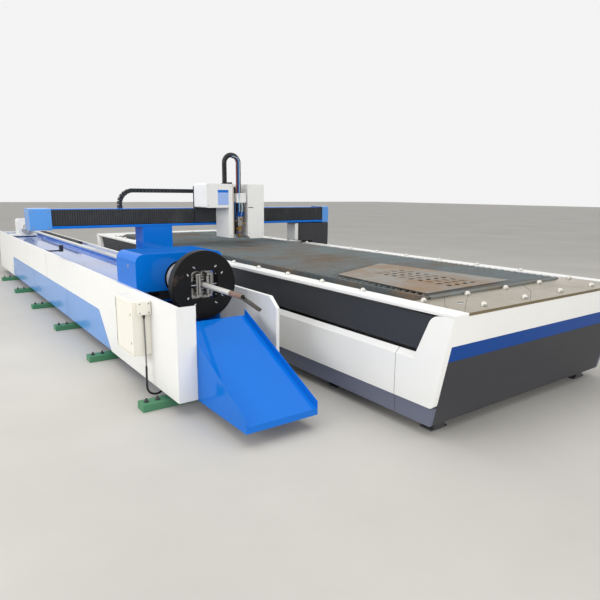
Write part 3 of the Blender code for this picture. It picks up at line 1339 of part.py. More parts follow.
def build_jaw(name, axis, side, y):
    """A roller in a fork, on a stem that slides in the disc, on one side of the axis."""
    centre = TUBE_RADIUS + ROLLER_RADIUS + GAP
    yoke_in = centre + ROLLER_RADIUS + YOKE_SPACE
    yoke_out = yoke_in + YOKE_THICK
    across = "Z" if axis == "X" else "X"

    def box(out0, out1, half0, half1):
        low, high = sorted((side * out0, side * out1))
        if axis == "X":
            return (
                TUBE_X + low, TUBE_X + high, y - YOKE_DEPTH / 2, y + YOKE_DEPTH / 2, AXIS_HEIGHT + half0,
                AXIS_HEIGHT + half1,
            )
        return (
            TUBE_X + half0, TUBE_X + half1, y - YOKE_DEPTH / 2, y + YOKE_DEPTH / 2, AXIS_HEIGHT + low,
            AXIS_HEIGHT + high,
        )

    jaw = blocks(name, STEEL, [box(yoke_in, yoke_out, -YOKE_HALF, YOKE_HALF)])
    lug_in = centre - PIN_RADIUS - YOKE_SPACE
    lugs = [
        box(lug_in, yoke_in + YOKE_THICK / 2, -YOKE_HALF, -YOKE_HALF + LUG),
        box(lug_in, yoke_in + YOKE_THICK / 2, YOKE_HALF - LUG, YOKE_HALF),
    ]
    combine(jaw, blocks(name + "_lugs", None, lugs), "UNION")
    middle = AXIS_HEIGHT if axis == "X" else TUBE_X
    inset = YOKE_HALF - LUG / 2
    profile = [
        (0, middle - inset), (PIN_RADIUS, middle - inset), (PIN_RADIUS, middle - ROLLER_HALF),
        (ROLLER_RADIUS, middle - ROLLER_HALF),
        (ROLLER_RADIUS, middle + ROLLER_HALF), (PIN_RADIUS, middle + ROLLER_HALF),
        (PIN_RADIUS, middle + inset),
        (0, middle + inset),
    ]
    spot = (TUBE_X + side * centre, y) if axis == "X" else (y, AXIS_HEIGHT + side * centre)
    combine(jaw, turned(name + "_roller", None, across, profile, *spot, STEM_STEPS), "UNION")
    origin = TUBE_X if axis == "X" else AXIS_HEIGHT
    ends = (origin + side * (yoke_out - YOKE_THICK / 2), origin + side * (yoke_out + STEM_LENGTH))
    spot = (y, AXIS_HEIGHT) if axis == "X" else (TUBE_X, y)
    combine(jaw, shaft(name + "_stem", None, axis, STEM_RADIUS, *ends, *spot, STEM_STEPS), "UNION")


def build_headstock():
    """The blue hood, and inside it the bearing block on its stand that carries the spindle."""
    front, rear = BED_FRONT + HOUSING_FRONT, BED_FRONT + HOUSING_REAR
    left, right = BED_LEFT + BED_PANEL + GAP, BED_RIGHT - BED_PANEL - GAP
    outer = rounded([
        (left, HOUSING_LOW), (right, HOUSING_LOW), (right, HOUSING_TOP, HOUSING_ROUND),
        (left, HOUSING_TOP, HOUSING_ROUND),
    ])
    inner_left, inner_right = left + HOUSING_SHEET, right - HOUSING_SHEET
    inner = rounded([
        (inner_left, HOUSING_LOW - OVERRUN), (inner_right, HOUSING_LOW - OVERRUN),
        (inner_right, HOUSING_TOP - HOUSING_SHEET, HOUSING_ROUND - HOUSING_SHEET),
        (inner_left, HOUSING_TOP - HOUSING_SHEET, HOUSING_ROUND - HOUSING_SHEET),
    ])
    hood = prism("headstock_hood", BLUE, "Y", front, rear, outer)
    combine(
        hood, prism("hood_inside", None, "Y", front + HOUSING_SHEET, rear - HOUSING_SHEET, inner),
        "DIFFERENCE",
    )
    ends = (front - OVERRUN, rear + OVERRUN)
    bore = shaft("hood_bore", None, "Y", HOUSING_OPENING, *ends, TUBE_X, AXIS_HEIGHT, DISC_STEPS)
    combine(hood, bore, "DIFFERENCE")
    ends = (left - OVERRUN, left + OVERRUN)
    lock = shaft("lock_hole", None, "X", LOCK_RADIUS, *ends, front + LOCK_BACK, LOCK_Z, STEM_STEPS)
    combine(hood, lock, "DIFFERENCE")
    y0, y1 = BED_FRONT + BEARING_FRONT, BED_FRONT + BEARING_REAR
    outline = rounded([
        (TUBE_X - STAND_HALF, STAND_LOW), (TUBE_X + STAND_HALF, STAND_LOW), (TUBE_X + STAND_HALF, STAND_TOP),
        (TUBE_X + BEARING_HALF, STAND_TOP),
        (TUBE_X + BEARING_HALF, BEARING_TOP, HOUSING_ROUND),
        (TUBE_X - BEARING_HALF, BEARING_TOP, HOUSING_ROUND),
        (TUBE_X - BEARING_HALF, STAND_TOP), (TUBE_X - STAND_HALF, STAND_TOP),
    ])
    prism(
        "headstock_bearing", GREY, "Y", y0, y1, outline,
        [circle(TUBE_X, AXIS_HEIGHT, bored(SPINDLE_RADIUS, DISC_STEPS), DISC_STEPS)],
    )


def build_feed():
    """The feed carriage: a plate on the deck rails, its housing, and the small chuck that holds the tube."""
    front = BED_FRONT + FEED_AT
    rear = front + FEED_LENGTH
    plate = prism(
        "feed_carriage", WHITE, "Y", front, rear,
        rect(
            TUBE_X - FEED_PLATE_LEFT, TUBE_X + FEED_PLATE_RIGHT, DECK_TOP + DECK_RAIL_HEIGHT + GAP,
            FEED_PLATE_TOP,
        ),
    )
    outline = rounded([
        (TUBE_X - FEED_HALF, FEED_PLATE_TOP - OVERRUN / 2),
        (TUBE_X + FEED_HALF, FEED_PLATE_TOP - OVERRUN / 2),
        (TUBE_X + FEED_HALF, FEED_TOP, FEED_ROUND), (TUBE_X - FEED_HALF, FEED_TOP, FEED_ROUND),
    ])
    inset = FEED_CHUCK_THICK
    combine(plate, prism("feed_housing", None, "Y", front + inset, rear, outline), "UNION")
    bore = shaft("feed_bore", None, "Y", FEED_BORE, front, rear + OVERRUN, TUBE_X, AXIS_HEIGHT, DISC_STEPS)
    combine(plate, bore, "DIFFERENCE")
    face = front + FEED_CHUCK_THICK - GAP
    profile = [
        (FEED_TUBE_BORE, face - FEED_CHUCK_THICK), (FEED_CHUCK_RADIUS - DISC_EDGE, face - FEED_CHUCK_THICK),
        (FEED_CHUCK_RADIUS, face - FEED_CHUCK_THICK + DISC_EDGE), (FEED_CHUCK_RADIUS, face),
        (FEED_SHAFT, face),
        (FEED_SHAFT, face + FEED_SHAFT_LENGTH), (FEED_TUBE_BORE, face + FEED_SHAFT_LENGTH),
    ]
    chuck = turned("feed_chuck", STEEL, "Y", profile, TUBE_X, AXIS_HEIGHT, DISC_STEPS)
    near = face - FEED_CHUCK_THICK
    grip = TUBE_RADIUS + GAP
    ridge = DECK_TOP + DECK_RIDGE + FEED_ARM_LIFT
    arm = (
        TUBE_X + FEED_HALF - OVERRUN, TUBE_X + FEED_CHAIN_X + FEED_CHAIN_WIDTH / 2,
        front + FEED_CHUCK_THICK, front + FEED_CHUCK_THICK + FEED_ARM_LENGTH,
        ridge, ridge + FEED_CHAIN_HEIGHT,
    )
    combine(plate, blocks("feed_arm", None, [arm]), "UNION")
    jaws = []
    for side in (-1, 1):
        a, b = sorted((side * grip, side * FEED_JAW_OUT))
        along = (near - FEED_JAW_LENGTH, near + OVERRUN)
        jaws.append((TUBE_X + a, TUBE_X + b, *along, AXIS_HEIGHT - FEED_JAW / 2, AXIS_HEIGHT + FEED_JAW / 2))
        jaws.append((TUBE_X - FEED_JAW / 2, TUBE_X + FEED_JAW / 2, *along, AXIS_HEIGHT + a, AXIS_HEIGHT + b))
    combine(chuck, blocks("feed_jaws", None, jaws), "UNION")
    build_feed_chain(front + FEED_CHUCK_THICK - GAP)


def build_feed_chain(end):
    """The feed chain on the deck's ridge, seen from the side with a notch at each link."""
    low = DECK_TOP + DECK_RIDGE + GAP
    top = low + FEED_CHAIN_HEIGHT
    start = BED_FRONT + FEED_CHAIN_FRONT
    count = int((end - start) / FEED_CHAIN_LINK)
    step = (end - start) / count
    outline = [(start, low), (start + step * count, low)]
    for i in reversed(range(count)):
        y = start + step * i
        outline += [
            (y + step, top - FEED_CHAIN_NOTCH), (y + step - FEED_CHAIN_NOTCH, top),
            (y + FEED_CHAIN_NOTCH, top),
        ]
    outline.append((start, top - FEED_CHAIN_NOTCH))
    x = TUBE_X + FEED_CHAIN_X
    prism("feed_chain", BLACK, "X", x - FEED_CHAIN_WIDTH / 2, x + FEED_CHAIN_WIDTH / 2, outline)


def build_support():
    """The tube support: a long shaft in blocks along the left panel, with a crank arm and its roller."""
    x, z = TUBE_X - SHAFT_X, SHAFT_Z
    start, end = BED_FRONT + SHAFT_FRONT, BED_FRONT + SHAFT_REAR
    bar = shaft("support_shaft", BLACK, "Y", SHAFT_RADIUS, start, end, x, z, STEM_STEPS)
    arm = (x, x + SUPPORT_REACH, start, start + SUPPORT_ARM, z - SUPPORT_ARM / 2, z + SUPPORT_ARM / 2)
    combine(bar, blocks("support_arm", None, [arm]), "UNION")
    spot = (x + SUPPORT_REACH, start + SUPPORT_ARM / 2)
    combine(
        bar, shaft("support_roller", None, "Z", SUPPORT_RADIUS, SUPPORT_LOW, SUPPORT_TOP, *spot), "UNION",
    )


def build_electric_box():
    front = BED_FRONT + BOX_FRONT
    rear = front + BOX_LENGTH
    side, door = BED_LEFT - GAP, BED_LEFT - BOX_REACH + DOOR_THICK
    outline = rounded([(u, v, BOX_ROUND) for u, v in rect(front, rear, BOX_BOTTOM, BOX_TOP)])
    folded_cover("electric_box", CREAM, "X", side, door + GAP, outline, sheet=BOX_SHEET)
    folded_cover("electric_box_door", CREAM, "X", door - DOOR_THICK, door, outline, sheet=BOX_SHEET)
    half = JUNCTION / 2
    x = BED_LEFT - JUNCTION_SET + half / 2
    outline = rounded_rect(x, JUNCTION_Z, half, half, JUNCTION_ROUND)
    prism("junction_plate", CREAM, "Y", front - GAP - JUNCTION_THICK, front - GAP, outline)
    y = front - GAP - JUNCTION_THICK / 2
    top = JUNCTION_Z - half - GAP
    inlet = BED_LEFT + BED_PANEL + BED_FRAME_SIDE + CABLE_INLET
    loop = (inlet - x) / 2
    under = BED_FRAME_LOW - GAP - loop / 2
    route = [
        (x, y, top), (x, y, top - CABLE_DROP), (x, y - CABLE_SWAY, (top + under) / 2),
        (x, y, under + CABLE_DROP), (x, y, under),
    ]
    for i in range(1, CABLE_TURN):
        angle = math.pi * (1 - i / CABLE_TURN)
        route.append((x + loop + loop * math.cos(angle), y, under - loop * math.sin(angle)))
    route += [(inlet, y, under), (inlet, y, BED_FRAME_LOW - GAP)]
    pipe("box_cable", RUBBER, smooth_route(route, CABLE_POINTS), CABLE_RADIUS)


def set_pivots():
    """Puts the origin of each turning piece on its joint's axis, with its shape left where it is."""
    face = BED_FRONT + FEED_AT
    shaft_middle = BED_FRONT + (SHAFT_FRONT + SHAFT_REAR) / 2
    door = (BED_LEFT - BOX_REACH, BED_FRONT + BOX_FRONT + BOX_LENGTH, (BOX_BOTTOM + BOX_TOP) / 2)
    for pivot, names in (
        ((TUBE_X, BED_FRONT + DISC_FRONT, AXIS_HEIGHT), ("chuck_disc", "chuck_drum")),
        ((TUBE_X, face, AXIS_HEIGHT), ("feed_chuck", "work_tube")),
        ((TUBE_X - SHAFT_X, shaft_middle, SHAFT_Z), ("support_shaft",)),
        (door, ("electric_box_door",)),
    ):
        for name in names:
            obj = bpy.data.objects[name]
            obj.data.transform(Matrix.Translation(-Vector(pivot)))
            obj.location = pivot


clear_scene()
build_table_frame()
build_rails()
build_slats()
build_work_plate()
build_casings()
build_front()
build_rear()
build_plinth()
build_rims()
build_beam()
build_legs()
build_bellows()
build_chain()
build_carriage()
build_bed()
build_chute()
build_chuck()
build_headstock()
build_feed()
build_support()
build_electric_box()
set_pivots()
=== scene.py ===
"""Dresses the fiber laser cutting machine: its enamelled casings, slat table, gantry, laser head, chuck and tube bed.

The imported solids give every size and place. Lengths are in metres, +Y runs along the table away from the operator."""

import json
import math
import random

import bpy
from bpy.props import FloatProperty, FloatVectorProperty, IntProperty, PointerProperty
from mathutils import Matrix, Vector


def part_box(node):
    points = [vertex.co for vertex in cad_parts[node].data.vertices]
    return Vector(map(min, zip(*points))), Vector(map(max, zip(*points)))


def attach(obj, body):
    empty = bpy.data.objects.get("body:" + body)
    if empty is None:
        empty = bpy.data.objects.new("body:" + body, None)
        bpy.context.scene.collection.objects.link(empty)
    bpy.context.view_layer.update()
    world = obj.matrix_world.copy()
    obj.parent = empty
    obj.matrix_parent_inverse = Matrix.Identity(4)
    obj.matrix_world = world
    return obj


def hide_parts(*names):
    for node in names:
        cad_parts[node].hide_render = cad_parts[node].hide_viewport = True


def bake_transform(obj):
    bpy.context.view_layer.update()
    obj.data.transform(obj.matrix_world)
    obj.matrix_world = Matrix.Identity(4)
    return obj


bl_info = {
    "name": "Fiber laser cutting machine",
    "version": (1, 0, 0),
    "blender": (4, 5, 0),
    "location": "View3D > Sidebar > Laser machine",
    "description": "Builds the finished surfaces and small pieces of a sheet and tube laser cutting machine",
    "category": "Object",
}

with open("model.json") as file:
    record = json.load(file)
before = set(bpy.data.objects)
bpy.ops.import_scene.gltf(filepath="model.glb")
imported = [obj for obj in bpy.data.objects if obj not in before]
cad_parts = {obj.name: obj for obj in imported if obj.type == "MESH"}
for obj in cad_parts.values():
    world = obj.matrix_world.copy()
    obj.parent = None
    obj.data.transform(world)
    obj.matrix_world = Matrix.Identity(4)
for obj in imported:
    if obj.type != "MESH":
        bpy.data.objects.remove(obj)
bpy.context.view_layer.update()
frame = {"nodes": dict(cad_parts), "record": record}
nodes = frame["nodes"]
body_of = {node: body for body, members in frame["record"]["behaviour"]["bodies"].items() for node in members}

MERGE = 0.00002
FLAT_ANGLE = math.radians(1)
BEVEL_ANGLE = math.radians(30)
SMOOTH_ANGLE = math.radians(35)
ROUND_ANGLE = math.radians(60)
STRAIGHT = 0.9
PROUD = 0.0006
UP = (0, 0, 1)
BACK = (0, 1, 0)
FRONT = (0, -1, 0)


def low(node):
    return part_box(node)[0]


def high(node):
    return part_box(node)[1]


def middle(node):
    return (low(node) + high(node)) / 2


def colour(name, label, shade):
    """A colour setting. The shade is in display values from 0 to 255."""
    linear = [((v / 255 + 0.055) / 1.055) ** 2.4 if v > 10 else v / 255 / 12.92 for v in shade]
    return FloatVectorProperty(name=name, description=label, default=linear, subtype="COLOR", size=3, min=0, max=1)


def measure(name, label, default):
    """A length setting, in metres."""
    return FloatProperty(name=name, description=label, default=default, unit="LENGTH")


def angle(name, label, degrees):
    return FloatProperty(name=name, description=label, default=math.radians(degrees), subtype="ANGLE")


def power(name, label, watts):
    return FloatProperty(name=name, description=label + ", in watts", default=watts)


class MachineFinishes(bpy.types.PropertyGroup):
    white: colour("White", "Casings and covers", (238, 238, 235))
    blue: colour("Blue", "Tube bed, chute, hood and beam", (6, 110, 208))
    # Painted light: the insert colour is the blue enamel made lighter, standing in for the window light on left-facing
    # blue sheets
    insert: colour("Insert", "Lighter blue sheet at the tube bed's foot", (84, 150, 224))
    stripe: colour("Stripe", "Stripe across the table's front", (8, 66, 142))
    front_grey: colour("Front grey", "Lower panel of the table's front", (58, 58, 62))
    plinth: colour("Plinth", "Skirt round the table's foot", (97, 102, 122))
    foot_green: colour("Foot green", "Tube bed's foot bars", (52, 132, 88))
    band: colour("Band", "Rail covers behind the side windows", (54, 56, 60))
    cloth: colour("Bellows cloth", "Bellows over the beam's rails", (42, 44, 46))
    disc: colour("Disc", "Chuck disc", (50, 50, 51))
    slats: colour("Slats", "Slat steel", (158, 168, 170))
    sheet: colour("Sheet", "Steel of the offcut on the slats", (158, 154, 146))
    rust: colour("Rust", "Rust and spatter", (140, 116, 92))
    # Painted reflection: the tan is a warm wall's reflection in the polished sheet, painted into the metal's colour
    ball_plate: colour("Ball plate", "Polished sheet round the ball units", (168, 153, 122))
    steel: colour("Steel", "Turned and ground steel", (190, 188, 184))
    cream: colour("Cream", "Electric box", (236, 233, 222))
    brass: colour("Brass", "Nozzle and fittings", (205, 165, 96))
    hose_blue: colour("Blue hose", "Cooling hoses", (40, 90, 160))
    hose_red: colour("Red-brown hose", "Gas hose", (120, 62, 52))
    panel_blue: colour("Panel blue", "Inset panel on the left cover", (158, 186, 238))


class MachineSizes(bpy.types.PropertyGroup):
    pleat: measure("Pleat", "Pitch of the bellows' folds", 0.026)
    pleat_depth: measure("Pleat depth", "Depth of the bellows' folds", 0.008)
    tooth: measure("Tooth", "Pitch of the slats' teeth", 0.03)
    tooth_depth: measure("Tooth depth", "Depth of the slats' teeth", 0.012)
    slat_pitch: measure("Slat pitch", "Space from slat to slat", 0.065)
    slat_thick: measure("Slat thickness", "Thickness of a slat", 0.004)
    carrier: measure("Carrier", "Width of the slats' carriers", 0.022)
    link: measure("Link", "Pitch of the drag chains' links", 0.046)
    conduit_ring: measure("Ring", "Pitch of the conduit's rings", 0.014)
    screw: measure("Screw", "Radius of the screws' heads", 0.007)
    ball: measure("Ball", "Radius of a ball unit's ball", 0.016)
    ball_cup: measure("Ball cup", "Radius of a ball unit's cup", 0.024)
    ball_rise: measure("Ball rise", "Height of a ball's middle over the rim", 0.008)
    rim_first: measure("First ball", "From the front to the rims' first ball", 0.918)
    rim_pitch: measure("Rim pitch", "Space between the rims' balls", 0.49)
    rim_inset: measure("Rim inset", "From the table's side to the rims' balls", 0.095)
    rim_thick: measure("Rim thickness", "Thickness of the rims", 0.02)
    row_first: measure("Row start", "From the side to the rows' first ball", 0.177)
    row_pitch: measure("Row pitch", "Space between the rows' balls", 0.465)
    back_row: measure("Back row", "From the table's end to its inner ball row", 0.405)
    front_row: measure("Front row", "From the front to the first ball row", 0.1)
    seam: measure("Seam", "Width of the joints between sheets", 0.002)
    chain_thick: measure("Chain height", "Height of the beam's chain", 0.05)
    chain_fixed: measure("Chain end", "X of the beam chain's fixed end", 0.0375)
    hose: measure("Hose", "Radius of the hose arch", 0.031)
    foot_height: measure("Foot height", "Height of the bed's cross bars", 0.055)
    seed: IntProperty(name="Seed", description="Seed of the uneven shapes", default=7)


class MachineStage(bpy.types.PropertyGroup):
    eye: FloatVectorProperty(name="Eye", description="Camera position", default=(-3.0625, -6.99, 1.55), subtype="XYZ")
    yaw: angle("Yaw", "Turn to the right of +Y", 35.837)
    pitch: angle("Pitch", "Tilt down", 11.184)
    roll: angle("Roll", "Roll of the picture", 0.542)
    lens: FloatProperty(name="Lens", description="Focal length", default=32.26, unit="CAMERA")
    world_light: FloatProperty(name="World light", description="Strength of the even light", default=0.66)
    window_light: power("Window light", "Power of the window at the left", 460)
    roof_light: power("Roof light", "Power of the roof lights", 330)
    front_light: power("Front light", "Power of the light behind the camera", 390)
    floor: colour("Floor", "Floor", (196, 193, 187))


def finishes():
    return bpy.context.scene.machine_finishes


def sizes():
    return bpy.context.scene.machine_sizes


# Shader groups


def group(name, inputs, outputs):
    """A new shader node group, with its sockets, and its input and output nodes."""
    tree = bpy.data.node_groups.new(name, "ShaderNodeTree")
    for label, kind, default in inputs:
        socket = tree.interface.new_socket(label, in_out="INPUT", socket_type="NodeSocket" + kind)
        socket.default_value = default
    for label, kind in outputs:
        tree.interface.new_socket(label, in_out="OUTPUT", socket_type="NodeSocket" + kind)
    return tree, tree.nodes.new("NodeGroupInput"), tree.nodes.new("NodeGroupOutput")


def add_node(tree, kind, links=(), **values):
    """A node with its settings, its input values by socket name, and links into it."""
    node = tree.nodes.new(kind)
    for key, value in values.items():
        if hasattr(node, key):
            setattr(node, key, value)
        else:
            node.inputs[key.replace("_", " ")].default_value = value
    for socket, source in links:
        tree.links.new(source, node.inputs[socket])
    return node


def math_node(tree, operation, first, second):
    node = tree.nodes.new("ShaderNodeMath")
    node.operation = operation
    for socket, value in zip(node.inputs, (first, second)):
        if isinstance(value, (int, float)):
            socket.default_value = value
        else:
            tree.links.new(value, socket)
    return node.outputs[0]


def mix_colour(tree, factor, first, second, blend="MIX"):
    node = tree.nodes.new("ShaderNodeMix")
    node.data_type = "RGBA"
    node.blend_type = blend
    for socket, value in ((node.inputs[0], factor), (node.inputs[6], first), (node.inputs[7], second)):
        if hasattr(value, "is_linked"):
            tree.links.new(value, socket)
        elif isinstance(value, (int, float)):
            socket.default_value = value
        else:
            socket.default_value = (*value[:3], 1)
    return node.outputs[2]


def ramp(tree, source, start, end):
    """Zero up to the start, one from the end, and even between."""
    node = add_node(tree, "ShaderNodeMapRange", [("Value", source)])
    node.inputs["From Min"].default_value = start
    node.inputs["From Max"].default_value = end
    return node.outputs[0]


def noise(tree, vector, scale, detail=4.0, rough=0.55):
    node = add_node(tree, "ShaderNodeTexNoise", [("Vector", vector)], Scale=scale, Detail=detail, Roughness=rough)
    return node.outputs[0]


def stretched(tree, vector, scale):
    node = add_node(tree, "ShaderNodeMapping", [("Vector", vector)], Scale=scale)
    return node.outputs[0]


def times(tree, first, second):
    return math_node(tree, "MULTIPLY", first, second)


def plus(tree, first, second):
    return math_node(tree, "ADD", first, second)


def own_place(tree):
    """The piece's own coordinates."""
    return add_node(tree, "ShaderNodeTexCoord").outputs["Object"]


def connect(tree, node, sources):
    """Links a source into each named input of a node, or sets the input where the source is a number."""
    for socket, source in sources.items():
        if isinstance(source, (int, float)):
            node.inputs[socket].default_value = source
        else:
            tree.links.new(source, node.inputs[socket])


def build_enamel_group():
    """Sprayed enamel: slight unevenness, faint handling marks, and dust that thickens towards the floor."""
    tree, start, end = group(
        "sprayed_enamel",
        [("Paint", "Color", (0.8, 0.8, 0.8, 1)), ("Dust", "Color", (0.3, 0.28, 0.24, 1)),
         ("Marks", "Float", 0.15), ("Floor dust", "Float", 0.3)],
        [("Colour", "Color"), ("Roughness", "Float"), ("Height", "Float")],
    )
    given, place = start.outputs, own_place(tree)
    broad = noise(tree, place, 1.3, 3)
    smears = ramp(tree, noise(tree, stretched(tree, place, (3, 3, 9)), 2.2, 6, 0.7), 0.56, 0.78)
    marks = times(tree, smears, given["Marks"])
    split = add_node(tree, "ShaderNodeSeparateXYZ", [(0, place)])
    near_floor = times(tree, ramp(tree, split.outputs[2], 0.34, 0.02), ramp(tree, broad, 0.2, 0.75))
    dust = times(tree, near_floor, given["Floor dust"])
    total = math_node(tree, "MINIMUM", plus(tree, marks, dust), 0.9)
    uneven = mix_colour(tree, times(tree, broad, 0.1), given["Paint"], (0.0, 0.0, 0.0))
    connect(tree, end, {
        "Colour": mix_colour(tree, total, uneven, given["Dust"]),
        "Roughness": plus(tree, times(tree, total, 0.4), times(tree, broad, 0.12)),
        "Height": noise(tree, place, 420, 2),
    })


def build_metal_group():
    """Bare metal: fine lines along one direction, blotches, and rust where the metal is damp or worn."""
    tree, start, end = group(
        "bare_metal",
        [("Metal", "Color", (0.6, 0.6, 0.6, 1)), ("Rust", "Color", (0.25, 0.13, 0.06, 1)),
         ("Lines", "Vector", (1, 1, 1)), ("Rust share", "Float", 0.1), ("Blotch size", "Float", 4)],
        [("Colour", "Color"), ("Roughness", "Float"), ("Metallic", "Float"), ("Height", "Float")],
    )
    given, place = start.outputs, own_place(tree)
    mapping = add_node(tree, "ShaderNodeVectorMath", [(0, place), (1, given["Lines"])], operation="MULTIPLY")
    lines = noise(tree, mapping.outputs[0], 1, 5, 0.7)
    links = [("Vector", place), ("Scale", given["Blotch size"])]
    blotch = add_node(tree, "ShaderNodeTexNoise", links, Detail=7, Roughness=0.65)
    edge = math_node(tree, "SUBTRACT", 1, given["Rust share"])
    over = math_node(tree, "SUBTRACT", plus(tree, blotch.outputs[0], times(tree, lines, 0.25)), edge)
    rust = ramp(tree, over, -0.12, 0.16)
    shade = mix_colour(tree, times(tree, lines, 0.35), given["Metal"], (0.02, 0.02, 0.02))
    connect(tree, end, {
        "Colour": mix_colour(tree, rust, shade, given["Rust"]),
        "Roughness": plus(tree, times(tree, rust, 0.5), times(tree, lines, 0.35)),
        "Metallic": math_node(tree, "SUBTRACT", 1, times(tree, rust, 0.85)),
        "Height": plus(tree, lines, times(tree, rust, 0.6)),
    })


def new_material(name, group_name=None, **values):
    """A material with a Principled shader, and one of the groups placed before it with its own values."""
    material = bpy.data.materials.new(name)
    material.use_nodes = True
    tree = material.node_tree
    shader = tree.nodes["Principled BSDF"]
    placed = None
    if group_name:
        placed = tree.nodes.new("ShaderNodeGroup")
        placed.node_tree = bpy.data.node_groups[group_name]
        for key, value in values.items():
            placed.inputs[key.replace("_", " ")].default_value = value
    return material, tree, shader, placed


def bump(tree, height, strength, distance):
    node = add_node(tree, "ShaderNodeBump", [("Height", height)], Strength=strength, Distance=distance)
    return node.outputs[0]


def enamel(name, paint, base_rough, marks=0.1, floor_dust=0.25, coat=0.0, gloss=0.4):
    """Sprayed enamel. Its clear coat and its gloss go from 0 to 1."""
    dusty = [v * 0.35 + 0.14 for v in paint]
    material, tree, shader, placed = new_material(
        name, "sprayed_enamel", Paint=(*paint, 1), Dust=(*dusty, 1), Marks=marks, Floor_dust=floor_dust)
    connect(tree, shader, {
        "Base Color": placed.outputs["Colour"],
        "Roughness": plus(tree, placed.outputs["Roughness"], base_rough),
        "Normal": bump(tree, placed.outputs["Height"], 0.05, 0.0004),
        "Specular IOR Level": gloss, "Coat Weight": coat, "Coat Roughness": 0.06,
    })
    return material


def metal(name, shade, base_rough, lines=(1, 1, 1), rust=(0.2, 0.1, 0.05), rust_share=0.0, blotch=4.0, height=0.25,
          depth=0.0006, bare=1.0):
    """Bare metal. What is bare is how far its clean parts shine as metal, from 0 to 1."""
    material, tree, shader, placed = new_material(
        name, "bare_metal", Metal=(*shade, 1), Rust=(*rust, 1), Lines=lines, Rust_share=rust_share, Blotch_size=blotch)
    shine = placed.outputs["Metallic"]
    connect(tree, shader, {
        "Base Color": placed.outputs["Colour"],
        "Roughness": plus(tree, placed.outputs["Roughness"], base_rough),
        "Metallic": times(tree, shine, bare) if bare < 1 else shine,
        "Normal": bump(tree, placed.outputs["Height"], height, depth),
    })
    return material


def moulded(name, shade, rough, grain=900, strength=0.12):
    """Moulded plastic, rubber or coated cloth with a fine grain."""
    material, tree, shader, _ = new_material(name)
    place = own_place(tree)
    worn = ramp(tree, noise(tree, place, 6, 5, 0.6), 0.5, 0.8)
    dusty = [v * 0.7 + 0.07 for v in shade]
    connect(tree, shader, {
        "Base Color": mix_colour(tree, times(tree, worn, 0.5), shade, dusty),
        "Roughness": plus(tree, times(tree, worn, 0.15), rough),
        "Normal": bump(tree, noise(tree, place, grain, 2), strength, 0.0003),
    })
    return material


